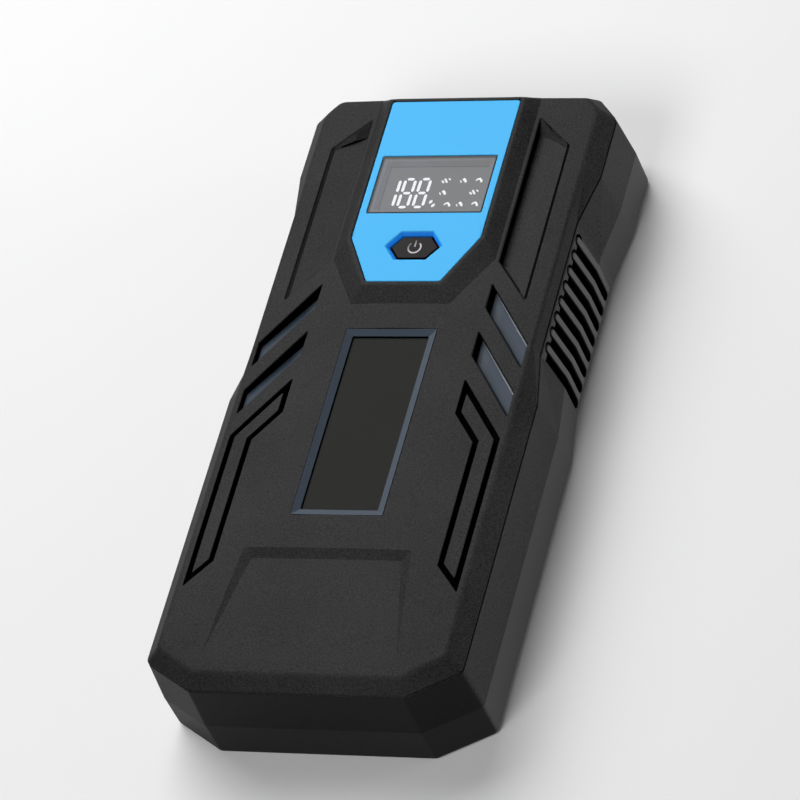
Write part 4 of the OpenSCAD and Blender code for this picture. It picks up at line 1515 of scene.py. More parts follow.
@dataclass
class FrontShell:
    """Face, bevel and plateau of the case, with everything that is sunk into them.

    The face is modelled flat, its rims are rounded there, and it is bent onto the crown
    at the end.
    """

    shop: Workshop
    slot_floor: float = 28.18
    groove_floor: float = 29.58
    groove: float = 1.5
    side_floor: float = 29.89
    side_rise: float = 1.0
    side_span: Point = (24.0, 9.8)
    edge: float = 1.1
    rim: float = 0.35
    knee_rim: float = 0.16
    name_rim: float = 0.2
    seam: tuple[Point, ...] = ((-0.28, 0.0), (-0.07, 0.09), (0.0, 0.22))
    slices_x: tuple[float, ...] = tuple(i * 3.5 for i in range(-12, 13))
    slices_y: tuple[float, ...] = (-87, -80, -73, -66, -60, -55, -50, -45, -30, 0, 45, 70)
    high: float = PLATEAU_H + 2
    inside: float = 26.0
    window_hole: Point = (28.1, 14.5)
    button_room: float = 1.25
    low_field: tuple[Place, Place, Place] = ((20.5, -56.8, 32.16), (26.9, -87.4, 33.24),
                                             (23.48, -53.7, 33.4))
    lip_groove: tuple[float, float, float] = (2.2, 4.4, 28.1)
    room: Point = (4.9, 27.1)
    pocket: Point = (39.0, 46.0)
    pocket_y: float = 52.5
    pocket_top: float = 31.0
    fade: Point = (31.9, 0.2)
    end_run: Point = (87.5, 3.0)
    piece: Piece | None = field(default=None, init=False)

    def build(self) -> None:
        """Builds, bends and dresses the shell."""
        bench = self.shop.bench
        self.piece = self.body()
        bench.work(self.piece, self.plateau(), Join.ADD)
        for tool in self.recesses() + self.hollows():
            bench.work(self.piece, tool, Join.CUT)
        bench.clean(self.piece)
        bench.round_edges(self.piece, self.rounding)
        bench.slice(self.piece, Axis.X, self.slices_x)
        bench.slice(self.piece, Axis.Y, self.slices_y)
        self.bend()
        bench.clean(self.piece)
        bench.smooth(self.piece, crisp=lambda c: c.mid.y < -52 and c.mid.z > 30 and abs(
            c.mid.x) < 30 and c.angle > 4)
        self.shop.settle(self.piece, Body.CASE, "face_black", "shell_plastic",
                         ["front_shell"])

    def body(self) -> Piece:
        """Band and bevel under a flat face.

        Returns:
            The solid shell without its recesses.
        """
        low = CASE.ring(0.0)
        radii = [CASE.corner * 0.8] * 6 + [CASE.end_corner] * 4 + [CASE.corner * 0.8] * 6
        upper = rounded(CASE.upper_edge(), radii)
        foot, edge = at_height(low, CASE.band_top), at_height(upper, CASE.face_h)
        inner = at_height(grown(upper, -self.edge), CASE.face_h)
        lengths = [(Vector(a) - Vector(b)).length for a, b in zip(foot, edge)]
        start = between(foot, edge, [0.03] * len(low))
        outer = between(edge, foot, [self.edge / length for length in lengths])
        rings = [at_height(grown(low, out), CASE.part_h + up) for out, up in self.seam]
        rings += [start, outer]
        for share in (0.25, 0.5, 0.75):
            one = between(outer, edge, [share] * len(low))
            two = between(edge, inner, [share] * len(low))
            rings.append(between(one, two, [share] * len(low)))
        return self.shop.bench.loft("front_case", rings + [inner])

    def end_at(self, height: float) -> float:
        """Where the bevel of the display end lies at a height."""
        return CASE.half_len - (height - CASE.band_top) * CASE.top_run

    def plateau(self) -> Piece:
        """Raised field round the panel, ending in the bevel's plane.

        Returns:
            The raised solid under the panel.
        """
        rings = []
        for points, height in ((FOOT, CASE.face_h - 2), (FOOT, CASE.face_h), (RIM, PLATEAU_H)):
            ring = [(x, self.end_at(height) if y == TOP_END else y, height)
                    for x, y in points]
            rings.append(ring)
        return self.shop.bench.loft("plateau", rings)

    def recesses(self) -> list[Piece]:
        """Cutters for everything that is sunk into the face.

        Returns:
            Solids to cut away.
        """
        bench = self.shop.bench
        high = self.high
        start, run = self.side_span
        sides, slots, grooves = [], [], []
        for flip in (False, True):
            turn = mirrored if flip else list
            side, foot = (rounded(turn(points), 0.3) for points in (SIDE, SIDE_FOOT))
            floor = [(x, y, self.side_floor + self.side_rise * (abs(x) - start) / run)
                     for x, y in foot]
            sides.append(bench.loft("side_cut", [floor, at_height(side, CASE.face_h),
                                                 at_height(side, high)]))
            for points in SLOTS:
                slots.append(bench.prism("slot_cut", rounded(turn(points), 0.1),
                                         self.slot_floor, high))
            outer, inner = (
                bench.prism("groove_cut", rounded(grown(turn(KNEE), out * self.groove / 2), 0.2),
                            self.groove_floor - spare, high + spare)
                for out, spare in ((1, 0), (-1, 1)))
            bench.work(outer, inner, Join.CUT)
            grooves.append(outer)
        tools = [bench.together(name, cutters) for name, cutters in (
            ("sides_cut", sides), ("slots_cut", slots), ("grooves_cut", grooves))]
        tools.append(self.trapezoid())
        name = rounded(oblong(NAME_W + 0.2, NAME_LEN + 0.2, 0, NAME_Y), 0.5)
        for outline, floor in ((name, NAME_SEAT), (rounded(grown(PANEL, 0.1), 1.0), PANEL_SEAT),
                               (oblong(*self.window_hole, 0, WINDOW_Y), self.inside),
                               (grown(BUTTON, self.button_room), self.inside)):
            tools.append(bench.prism("face_cut", outline, floor, high))
        return tools

    def trapezoid(self) -> Piece:
        """Cutter for the sloping field at the lower end.

        Returns:
            Solid to cut away.
        """
        near, far, rim = (Vector(corner) for corner in self.low_field)
        side = (far - near).cross(rim - near)
        lift = (rim.z - near.z, far.y - near.y)
        end = Vector((near.x - (side.y * lift[1] + side.z * lift[0]) / side.x, far.y, rim.z))
        rings = [[tuple(p * Vector((-1, 1, 1))) for p in pair]
                 + [tuple(p) for p in reversed(pair)] for pair in ((near, far), (rim, end))]
        return self.shop.bench.loft("trapezoid_cut", rings)

    def hollows(self) -> list[Piece]:
        """Cutters for the inside: the lip's groove, the board's pocket and the room.

        Returns:
            Solids to cut away.
        """
        bench = self.shop.bench
        base = CASE.outline(CASE.half_len, CASE.dent)
        low = CASE.part_h - 1
        out, inner, top = self.lip_groove
        groove = bench.prism("lip_cut", grown(base, -out), low, top)
        core = bench.prism("lip_core", grown(base, -inner), low - 1, top + 0.9)
        bench.work(groove, core, Join.CUT)
        room = bench.prism("room_cut", grown(base, -self.room[0]), low, self.room[1])
        pocket = bench.prism("pocket_cut", oblong(*self.pocket, 0, self.pocket_y), low,
                             self.pocket_top)
        return [groove, room, pocket]

    def rounding(self, crease: Crease) -> float:
        """Width of the rounding of one edge.

        Args:
            crease: The edge.

        Returns:
            The width in millimetres.
        """
        x, y, z = crease.mid
        over = z - CASE.face_h
        if not crease.proud or over < -NEAR:
            return 0.0
        if over <= NEAR:
            return 0.0 if self.outer(x, y, self.edge + 0.1) else self.lip(x, y)
        if y > self.end_at(z) - 0.05:
            return self.edge
        return self.rim if abs(z - PLATEAU_H) < NEAR else 0.0

    def lip(self, x: float, y: float) -> float:
        """Width of the rounding at a recess's rim.

        Args:
            x: Place of the rim.
            y: Place of the rim.

        Returns:
            The width in millimetres.
        """
        if y < -52 and abs(x) < 30:
            return 0.0
        if any(within(grown(turn(KNEE), 0.8), x, y) for turn in (turned, mirrored)):
            return self.knee_rim
        return self.name_rim if abs(x) < 13 and -45 < y < 15 else self.rim

    def outer(self, x: float, y: float, slack: float) -> bool:
        """Tells whether a spot lies on or outside the bevel's upper edge."""
        return not within(grown(CASE.upper_edge(), -slack), x, y)

    def bend(self) -> None:
        """Moves the flat face onto the crown and the lower slope."""
        edge = grown(CASE.upper_edge(), -self.edge - 0.15)
        core = grown([(a, TOP_END + 5 if b == TOP_END else b) for a, b in RIM], -0.5)
        height = CASE.face_h - CASE.band_top
        (fade, fade_run), (end, end_run) = self.fade, self.end_run
        for vertex in self.piece.data.vertices:
            x, y, z = vertex.co / MM
            if within(core, x, y):
                continue
            if z > CASE.face_h:
                share = (PLATEAU_H - z) / (PLATEAU_H - CASE.face_h)
            elif within(edge, x, y):
                share = min(max((z - fade) / fade_run, 0.0), 1.0)
            else:
                share = max((z - CASE.band_top) / height, 0.0)
            down = share * CASE.drop(x, y)
            out = min(max((y - end) / end_run, 0.0), 1.0) * down * CASE.top_run
            vertex.co = Vector((x, y + out, z - down)) * MM


# ---------------------------------------------------------------- rear shell


@dataclass
class RearShell:
    """Tub of the case with its grip ribs, screw wells and output end."""

    shop: Workshop
    wall: float = 2.2
    top: float = 26.3
    rib_t: float = 2.2
    rib_step: float = 4.98
    rib_y: float = 32.2
    rib_count: int = 8
    rib_top: float = 23.9
    rib_low: float = 1.4
    rib_proud: float = 0.12
    rib_round: float = 0.42
    soft: float = 0.3
    back: float = 1.2
    seam: tuple[Point, ...] = ((0.28, 0.0), (0.09, 0.07), (0.0, 0.28))
    lips: tuple[tuple[float, float, float], ...] = ((2.3, 3.4, 28.0), (1.6, 3.0, 26.0))
    end_block: tuple[Place, Place] = ((-17.0, 90.15, 1.2), (37.4, 93.15, 21.6))
    collar: tuple[float, float, float] = (8.1, 91.4, 2.2)
    post: tuple[float, float, float] = (3.1, 1.0, 13.0)
    gap_floor: float = 40.2
    gap_lean: float = 1.3 / 14
    gap_low: float = 2.3
    recess_y: float = 92.15
    screws: tuple[Point, ...] = ((35.2, -77.7), (35.2, -13.7), (35.2, 80.2),
                                 (-35.2, -77.7), (-35.2, -13.7), (-35.2, 80.2))
    ports: tuple[tuple[float, ...], ...] = ((-14.1, 6.1, 6.2, 18.4), (6.9, 21.5, 9.5, 15.9),
                                            (22.3, 31.5, 9.5, 12.9))

    def build(self) -> None:
        """Builds and dresses the shell."""
        bench = self.shop.bench
        shell = self.tub()
        bench.work(shell, self.end_wall(), Join.ADD)
        for tool in self.cuts():
            bench.work(shell, tool, Join.CUT)
        bench.clean(shell)
        bench.round_edges(shell, self.rounding)
        for flip in (False, True):
            bench.work(shell, self.both(self.pocket(), flip), Join.CUT)
        bench.work(shell, self.ribs(), Join.ADD)
        bench.clean(shell)
        bench.smooth(shell, facet=3.0, crisp=lambda c: abs(c.mid.z - CASE.ridge_h) < 0.2)
        self.shop.settle(shell, Body.CASE, "side_black", "shell_plastic", ["rear_shell"])

    def dent(self, height: float) -> float:
        """Depth of the waist at a height."""
        return CASE.low_dent + (CASE.dent - CASE.low_dent) * CASE.rise(height)

    def waist(self, height: float) -> float:
        """Distance of the waist's side from the middle at a height."""
        return CASE.half_w - self.dent(height) + CASE.lean(height)

    def gap(self, height: float) -> float:
        """Distance of the floor between the ribs from the middle at a height."""
        return self.gap_floor - max(height - CASE.ridge_h, 0.0) * self.gap_lean

    def tub(self) -> Piece:
        """Outer form with its hollow and lip.

        Returns:
            The shell without its openings.
        """
        bench = self.shop.bench
        turns = [math.radians(90 * i / 4) for i in range(5)]
        steps = [(self.back * (1 - math.cos(t)), self.back * (1 - math.sin(t)))
                 for t in turns]
        steps += [(CASE.ridge_h, 0.0)] + [(self.top - down, inset) for down, inset in self.seam]
        outer = bench.stack("rear_case", [
            (CASE.ring(CASE.lean(h) - inset, CASE.corner, self.dent(h)), h)
            for h, inset in steps])
        hollow = bench.stack("hollow", [
            (CASE.ring(CASE.lean(h) - self.wall, 0.6), h)
            for h in (self.wall, CASE.ridge_h, self.top + 1)])
        bench.work(outer, hollow, Join.CUT)
        base = CASE.outline(CASE.half_len, CASE.dent)
        bands = []
        for out, inner, high in self.lips:
            bands.append(bench.prism("lip", grown(base, -out), self.top - 3, high))
            bench.work(bands[-1], bench.prism("lip_core", grown(base, -inner), self.top - 4,
                                              high + 1), Join.CUT)
        lip, foot = bands
        bench.work(lip, foot, Join.ADD)
        bench.work(outer, lip, Join.ADD)
        return outer

    def end_wall(self) -> Piece:
        """Thicker wall behind the port cover and round the torch, with the screw posts.

        Returns:
            The wall and the posts.
        """
        bench = self.shop.bench
        wall = bench.block("end_wall", *self.end_block)
        radius, start, length = self.collar
        collar = bench.rod("collar", radius, (TORCH[0], start, TORCH[1]), Axis.Y, length)
        bench.work(wall, collar, Join.ADD)
        radius, start, length = self.post
        posts = [bench.rod("post", radius, (*spot, start), Axis.Z, length, sides=28)
                 for spot in self.screws]
        return bench.together("backing", [wall] + posts)

    def cuts(self) -> list[Piece]:
        """Cutters for the output end and the screw wells.

        Returns:
            Solids to cut away.
        """
        bench = self.shop.bench
        x, z = TORCH
        recess = bench.block("recess", (-15.25, self.recess_y, 3.95), (36.55, 97.0, 20.65))
        ports = [bench.block("port_hole", (x0, 88.0, z0), (x1, 93.0, z1))
                 for x0, x1, z0, z1 in self.ports]
        lens, mouth = (bench.rod("torch_hole", radius, (x, y, z), Axis.Y, 5.0, sides=64)
                       for radius, y in ((6.6, 92.4), (5.5, 88.0)))
        pin = bench.rod("pin_hole", 0.52, (*HINGE, 2.55), Axis.Z, 19.5, sides=16)
        wells, bores = (
            bench.together(name, [bench.rod(name, radius, (*spot, low), Axis.Z, length,
                                            sides=sides) for spot in self.screws])
            for name, radius, low, length, sides in (("wells", 2.6, -1.0, 5.0, 32),
                                                     ("bores", 1.4, 3.0, 13.0, 16)))
        return [recess, bench.together("ports", ports), lens, mouth, pin, wells, bores]

    def rounding(self, crease: Crease) -> float:
        """Width of the rounding of one edge.

        Args:
            crease: The edge.

        Returns:
            The width in millimetres.
        """
        x, y, z = crease.mid
        base = CASE.ring(CASE.lean(min(max(z, 0), self.top)))
        if z < NEAR:
            rounds = within(grown(base, -3.0), x, y)
        else:
            rounds = (y > 94.5 and 3 < z < 21.5 and crease.angle > 30
                      and not within(grown(base, -0.1), x, y))
        return self.soft if crease.proud and rounds else 0.0

    def both(self, tool: Piece, flip: bool) -> Piece:
        """Gives a right-hand solid, or its mirror image in its place.

        Args:
            tool: Solid on the right.
            flip: Whether the mirror image is wanted.

        Returns:
            The solid that is kept.
        """
        if not flip:
            return tool
        twin = self.shop.bench.copied(tool, tool.name, Matrix.Scale(-1, 4, (1, 0, 0)))
        bpy.data.meshes.remove(tool.data)
        return twin

    def rib_places(self) -> list[float]:
        """Middles of the ribs along the case."""
        return [self.rib_y + (i - (self.rib_count - 1) / 2) * self.rib_step
                for i in range(self.rib_count)]

    def pocket(self) -> Piece:
        """Cutter for the gaps between the ribs, with an arc round the top of each rib.

        Returns:
            Solid to cut away.
        """
        bench = self.shop.bench
        places = self.rib_places()
        width = self.rib_step - self.rib_t
        low = places[0] - self.rib_t / 2 - width
        high = places[-1] - self.rib_t / 2
        rings = [[(self.gap(h), low, h), (50.0, low, h), (50.0, high, h), (self.gap(h), high, h)]
                 for h in (self.gap_low + width / 2, CASE.ridge_h, self.rib_top)]
        piece = bench.loft("pocket", rings)
        for place in places:
            foot = bench.rod("pocket_foot", width / 2, (
                self.gap(0), place - self.rib_step / 2, self.gap_low + width / 2), Axis.X, 9.8,
                sides=28)
            head = bench.rod("pocket_head", self.rib_t / 2 + 0.75, (
                self.gap(self.rib_top), place, self.rib_top), Axis.X, 10.9, sides=32)
            bench.work(piece, foot, Join.ADD)
            bench.work(piece, head, Join.ADD)
        bench.clean(piece)
        return piece

    def rib_ring(self, height: float, width: float, crest: float) -> list[Place]:
        """Section of a rib at a height.

        Args:
            height: The height in millimetres.
            width: Width of the rib there.
            crest: Distance of its crest from the middle of the case.

        Returns:
            The corners, round at the crest.
        """
        side = []
        for i in range(5):
            turn = math.radians(22.5 * i)
            round_y = self.rib_round * min(width / self.rib_t, 1.0)
            side.append((crest - self.rib_round * (1 - math.sin(turn)),
                         width / 2 - round_y * (1 - math.cos(turn)), height))
        base = (self.gap(height) - 0.75, width / 2, height)
        half = [base] + side
        return [(x, -y, z) for x, y, z in half] + list(reversed(half))

    def ribs(self) -> Piece:
        """Both rows of grip ribs, each with a round crest and a round top.

        Returns:
            All the ribs of both sides.
        """
        bench = self.shop.bench
        rings = [self.rib_ring(h, self.rib_t, self.waist(h) + out)
                 for h, out in ((self.rib_low, -0.25), (self.rib_low + 1.2, self.rib_proud),
                                (CASE.ridge_h, self.rib_proud),
                                (self.rib_top, self.rib_proud))]
        for turn in (22, 44, 64, 82):
            angle = math.radians(turn)
            height = self.rib_top + self.rib_t / 2 * math.sin(angle)
            rings.append(self.rib_ring(height, self.rib_t * math.cos(angle), self.waist(
                height) + self.rib_proud - 0.5 * (1 - math.cos(angle))))
        rib = bench.loft("rib", rings)
        copies = []
        for i, place in enumerate(self.rib_places()):
            shift = Matrix.Translation((0, place * MM, 0))
            copies.append(bench.copied(rib, f"rib_right_{i}", shift))
            copies.append(bench.copied(rib, f"rib_left_{i}",
                                       shift @ Matrix.Scale(-1, 4, (1, 0, 0))))
        bpy.data.meshes.remove(rib.data)
        return bench.together("ribs", copies)


# ---------------------------------------------------------------- panel, window, button


@dataclass
class ControlPanel:
    """Blue panel with its window, display and figures."""

    shop: Workshop
    window: Point = (32.5, 18.9)
    ledge: float = 2.2
    brow: float = 1.3
    border_top: float = 34.3
    window_top: float = 34.75
    screen_h: float = 32.95
    rows: tuple[float, float, float] = (54.1, 58.75, 63.4)
    columns: tuple[float, ...] = (-10.4, -8.95, -6.1, -4.55, -1.8)
    tops: tuple[float, ...] = (-8.95, -4.6)
    lean: float = 0.025
    bar_w: float = 0.84
    bar_rim: float = 0.17
    spots: tuple[tuple[float, float, int], ...] = (
        (2.8, 62.8, 0), (7.8, 62.8, 1), (12.2, 62.9, 2), (2.9, 58.8, 1),
        (11.6, 58.9, 0), (5.1, 54.9, 2), (8.6, 54.9, 1), (12.9, 55.0, 2))
    dots: tuple[Point, ...] = ((0.22, 55.8), (1.15, 54.6))
    marks: tuple[tuple[tuple[float, ...], ...], ...] = (
        ((-1.2, 0.1, -0.4, -0.8, 0.5), (-0.5, 0.75, 0.5, -0.75, 0.55),
         (0.6, 0.8, 1.25, 0.15, 0.4)),
        ((-0.95, 0.1, -0.5, -0.7, 0.3), (-0.35, 0.2, 0.3, 0.75, 0.5),
         (0.05, 0.6, 0.85, -0.7, 0.72)),
        ((-0.95, -0.2, -0.2, 0.6, 0.45), (-0.3, 0.62, 0.45, 0.25, 0.62),
         (0.3, 0.4, 0.85, -0.8, 0.62)))

    def build(self) -> None:
        """Builds and dresses the panel and what lies in it."""
        self.panel()
        self.cover_glass()
        self.figures()
        self.shop.palette.dress(self.shop.nodes["display_module"], "screen_grey")

    def panel(self) -> None:
        """Blue inlay with the window's opening and the button's funnel."""
        bench = self.shop.bench
        piece = bench.prism("blue_panel", rounded(PANEL, 0.9, 4), PANEL_SEAT, PANEL_TOP)
        opening = bench.prism("window_cut",
                              rounded(oblong(self.window[0] + 0.2, self.window[1] + 0.2, 0,
                                             WINDOW_Y), 0.35), 30, 36)
        shaft = rounded(grown(BUTTON, 0.3), 0.3)
        mouth = rounded(grown(BUTTON, 1.15), 0.4)
        funnel = bench.stack("funnel_cut", [(shaft, 30), (shaft, 33.8), (mouth, PANEL_TOP),
                                            (mouth, PANEL_TOP + 1)])
        bench.work(piece, opening, Join.CUT)
        bench.work(piece, funnel, Join.CUT)
        bench.clean(piece)
        bench.slice(piece, Axis.X, [-3, 3])
        bench.slice(piece, Axis.Y, [BUTTON_Y, 47.5, WINDOW_Y])
        bench.round_edges(piece, lambda c: 0.22 if c.proud and abs(
            c.mid.z - PANEL_TOP) < NEAR else 0.0)
        bench.smooth(piece)
        self.shop.settle(piece, Body.CASE, "panel_blue", "panel_plastic", ["control_panel"])

    def cover_glass(self) -> None:
        """Clear window with a softened edge, and the grey border that slopes under it."""
        bench = self.shop.bench
        width, length = self.window
        piece = bench.prism("window_glass", rounded(oblong(width, length, 0, WINDOW_Y), 0.3),
                            self.border_top + 0.02, self.window_top)
        bench.round_edges(piece, lambda c: 0.14 if abs(c.along.z) < 0.1 else 0.0)
        bench.smooth(piece)
        self.shop.settle(piece, Body.CASE, "window_clear", "window_plastic",
                         ["display_window"])
        border = bench.prism("window_border", oblong(width - 0.1, length - 0.1, 0, WINDOW_Y),
                             PANEL_SEAT + 0.05, self.border_top)
        rings = [(oblong(width - 2 * inset, length - 2 * inset, 0, WINDOW_Y), z)
                 for inset, z in ((self.ledge, 30.0), (self.ledge, PANEL_SEAT + 0.1),
                                  (self.brow, self.border_top), (self.brow, 36.0))]
        bench.work(border, bench.stack("border_cut", rings), Join.CUT)
        bench.smooth(border)
        self.shop.settle(border, Body.CASE, "border_grey", "window_plastic")

    def segment(self, start: Point, end: Point, width: float) -> list[Point]:
        """Outline of one bar of a figure, with pointed ends.

        Args:
            start: Where the bar starts.
            end: Where the bar ends.
            width: Width of the bar.

        Returns:
            The outline.
        """
        a, b = Vector(start), Vector(end)
        on = (b - a).normalized()
        side = Vector((-on.y, on.x)) * width / 2
        inset = on * width / 2
        return [tuple(p) for p in (a, a + inset - side, b - inset - side, b,
                                   b - inset + side, a + inset + side)]

    def figures(self) -> None:
        """Lit figures and small marks on the face of the display."""
        bench = self.shop.bench
        low, middle, high = self.rows

        def at(x: float, y: float) -> Point:
            """Leans a point of a figure."""
            return x + self.lean * (y - low), y

        bars = [(at(x, y0 + 0.34), at(x, y1 - 0.34)) for x in self.columns
                for y0, y1 in ((low, middle), (middle, high))]
        bars += [(at(x + 0.32, y), at(x + 2.56, y)) for x in self.tops for y in self.rows]
        shapes = [self.segment(start, end, self.bar_w) for start, end in bars]
        outlines = [turned(grown(turned(shape), self.bar_rim)) for shape in shapes]
        for x, y, kind in self.spots:
            for x0, y0, x1, y1, thick in self.marks[kind]:
                shapes.append(self.segment((x + x0, y + y0), (x + x1, y + y1), thick))
        for x, y in self.dots:
            shapes.append(self.segment((x - 0.35, y - 0.6), (x + 0.35, y + 0.6), 0.8))
        for name, found, top, finish, slot, replaces in (
                ("dim_figures", outlines, 0.03, "screen_dark", "module_plastic", []),
                ("lit_figures", shapes, 0.07, "segment_white", "lit_segment",
                 ["display_digits"])):
            pieces = [bench.prism("bar", shape, self.screen_h, self.screen_h + top)
                      for shape in found]
            self.shop.settle(bench.together(name, pieces), Body.CASE, finish, slot, replaces)


@dataclass
class PowerButton:
    """Six-sided button with its silver mark."""

    shop: Workshop
    base: float = 32.0
    flange: float = 32.8
    top: float = 33.9
    mark_r: float = 1.75
    mark_w: float = 0.42
    mark_gap: float = 42.0
    mark_steps: int = 28
    stroke: Point = (2.1, 1.25)

    def build(self) -> None:
        """Builds and dresses the button."""
        bench = self.shop.bench
        foot, face = rounded(BUTTON, 0.3), rounded(grown(BUTTON, -0.3), 0.3)
        cap = bench.stack("button_cap", [(foot, self.base), (foot, 33.1), (face, self.top)])
        flange = bench.prism("flange", rounded(grown(BUTTON, 1.0), 0.4), self.base,
                             self.flange)
        bench.work(cap, flange, Join.ADD)
        bench.clean(cap)
        bench.round_edges(cap, lambda c: 0.12 if c.mid.z > 33.8 else 0.0, 2)
        bench.smooth(cap)
        self.shop.settle(cap, Body.BUTTON, "button_black", "button_plastic",
                         ["power_button"])
        self.mark()

    def mark(self) -> None:
        """Broken ring and stroke on the button's face."""
        bench = self.shop.bench
        inner, outer = self.mark_r - self.mark_w / 2, self.mark_r + self.mark_w / 2
        swing = 360 - 2 * self.mark_gap
        angles = [math.radians(90 + self.mark_gap + i * swing / self.mark_steps)
                  for i in range(self.mark_steps + 1)]
        ring = [(radius * math.cos(a), BUTTON_Y + radius * math.sin(a))
                for radius, turns in ((outer, angles), (inner, angles[::-1])) for a in turns]
        low, high = self.top - 0.03, self.top + 0.05
        arc = bench.prism("mark_ring", ring, low, high)
        stroke = bench.prism("mark_stroke",
                             rounded(oblong(self.mark_w, self.stroke[0], 0,
                                            BUTTON_Y + self.stroke[1]), 0.2),
                             low, high)
        piece = bench.together("power_mark", [arc, stroke])
        bench.smooth(piece)
        self.shop.settle(piece, Body.BUTTON, "mark_silver", "button_plastic")


# ---------------------------------------------------------------- trim


@dataclass
class Trim:
    """Frame and plate in the middle of the face, and the inserts in the slots."""

    shop: Workshop
    slope: float = 1.9
    lip: float = 1.2
    steps: tuple[Point, ...] = ((0.1, 28.18), (0.1, 28.95), (0.5, 29.25))

    def build(self) -> None:
        """Builds and dresses the trim."""
        self.frame()
        self.plate()
        self.inserts()

    def frame(self) -> None:
        """Frame whose inner sides slope down to the plate."""
        bench = self.shop.bench
        box = rounded(oblong(NAME_W, NAME_LEN, 0, NAME_Y), 0.4)
        piece = bench.prism("name_frame", box, NAME_SEAT, NAME_RIM)
        inner = rounded(oblong(NAME_W - 2 * self.slope, NAME_LEN - 2 * self.slope, 0, NAME_Y),
                        0.3)
        rim = rounded(oblong(NAME_W - 0.2, NAME_LEN - 0.2, 0, NAME_Y), 0.3)
        cut = bench.stack("frame_cut", [(inner, NAME_SEAT - 1), (inner, NAME_SEAT + self.lip),
                                        (rim, NAME_RIM), (rim, NAME_RIM + 1)])
        bench.work(piece, cut, Join.CUT)
        bench.smooth(piece)
        self.shop.settle(piece, Body.CASE, "trim_slate", "trim_plastic",
                         ["nameplate_frame"])

    def plate(self) -> None:
        """Bare glossy plate."""
        bench = self.shop.bench
        piece = bench.prism("centre_plate",
                            rounded(oblong(NAME_W - 2 * self.slope - 0.2,
                                           NAME_LEN - 2 * self.slope - 0.2, 0, NAME_Y), 0.3),
                            NAME_SEAT, NAME_SEAT + 0.7)
        bench.round_edges(piece, lambda c: 0.15 if c.mid.z > NAME_SEAT + 0.6 else 0.0)
        bench.smooth(piece)
        self.shop.settle(piece, Body.CASE, "plate_gloss", "plate_plastic", ["nameplate"])

    def inserts(self) -> None:
        """Slate inserts on the floors of the slots."""
        bench = self.shop.bench
        for name, turn in (("right", turned), ("left", mirrored)):
            bars = []
            for points in SLOTS:
                bars.append(bench.stack("insert", [
                    (rounded(grown(turn(points), -inset), 0.1), z) for inset, z in self.steps]))
            piece = bench.together(f"insert_{name}", bars)
            bench.smooth(piece)
            self.shop.settle(piece, Body.CASE, "trim_slate", "trim_plastic",
                             [f"slot_insert_{name}"])


# ---------------------------------------------------------------- output end


@dataclass
class OutputEnd:
    """Hinged port cover and the torch's lens."""

    shop: Workshop
    left: float = -15.0
    knuckle: float = 1.2
    back: float = 92.45
    heights: tuple[float, float, float] = (4.2, 12.3, 20.4)
    border: float = 1.8
    sunk: float = 0.3
    fingers: tuple[float, ...] = (5.0, 6.5, 8.0)
    finger_w: float = 0.7
    finger_in: float = 4.0
    bore: float = 0.55
    dome: tuple[Point, ...] = ((92.4, 6.5), (93.5, 6.5), (93.9, 6.2), (94.25, 5.2),
                               (94.5, 3.6), (94.6, 1.6))

    def build(self) -> None:
        """Builds and dresses the cover and the lens."""
        self.cover()
        self.lens()

    def outside(self, height: float) -> float:
        """Where the end wall's outer face lies at a height."""
        return CASE.half_len + CASE.lean(height)

    def slab(self, name: str, x: Point, z: Point, near: float, far: float) -> Piece:
        """Builds a plate that follows the lean of the end wall.

        Args:
            name: Name of the piece.
            x: Its two sides.
            z: Its lower and its upper edge.
            near: Distance of its back from the wall's outer face.
            far: The same for its front.

        Returns:
            The plate.
        """
        heights = [z[0]] + [h for h in self.heights if z[0] < h < z[1]] + [z[1]]
        rings = [[(x[0], self.outside(h) + near, h), (x[1], self.outside(h) + near, h),
                  (x[1], self.outside(h) + far, h), (x[0], self.outside(h) + far, h)]
                 for h in heights]
        return self.shop.bench.loft(name, rings)

    def cover(self) -> None:
        """Rubber cover with a sunk field, finger ribs, a notch and its knuckle."""
        bench = self.shop.bench
        (low, _, high), (x, y) = self.heights, HINGE
        flap = self.slab("port_flap", (self.left, x), (low, high), -4.0, 0.0)
        bench.work(flap, bench.block("flap_back", (-20, 85, 0), (40, self.back, 25)), Join.CUT)
        field = self.slab("field", (self.left + self.border + 1.4, x - self.border),
                          (low + self.border, high - self.border), -self.sunk, 2.0)
        bench.work(flap, field, Join.CUT)
        for step in self.fingers:
            start = self.left + step
            bench.work(flap, self.slab(
                "finger_rib", (start, start + self.finger_w),
                (low + self.finger_in, high - self.finger_in), -1.0, -0.02), Join.ADD)
        notch = bench.rod("notch", 1.1, (self.left - 0.6, 93.2, TORCH[1]), Axis.Y, 2.4,
                          2.4)
        bench.work(flap, notch, Join.CUT)
        bench.round_edges(flap, lambda c: 0.14 if c.proud and c.mid.y > 94.2
                          and c.angle > 40 else 0.0, 2)
        bench.work(flap, bench.rod("knuckle", self.knuckle, (x, y, low), Axis.Z, high - low,
                                   sides=32), Join.ADD)
        bench.work(flap, bench.rod("pin_hole", self.bore, (x, y, low - 1), Axis.Z,
                                   high - low + 2, sides=24), Join.CUT)
        bench.clean(flap)
        bench.smooth(flap)
        self.shop.settle(flap, Body.COVER, "cover_rubber", "cover_rubber", ["port_cover"])

    def lens(self) -> None:
        """Domed lens of the torch."""
        x, z = TORCH
        rings = [[(x + a, y, z + b) for a, b in disc(radius, 0, 0, 64)]
                 for y, radius in self.dome]
        piece = self.shop.bench.loft("torch_dome", rings)
        self.shop.bench.smooth(piece)
        self.shop.settle(piece, Body.CASE, "lens_clear", "lens_clear", ["torch_lens"])


# ---------------------------------------------------------------- innards


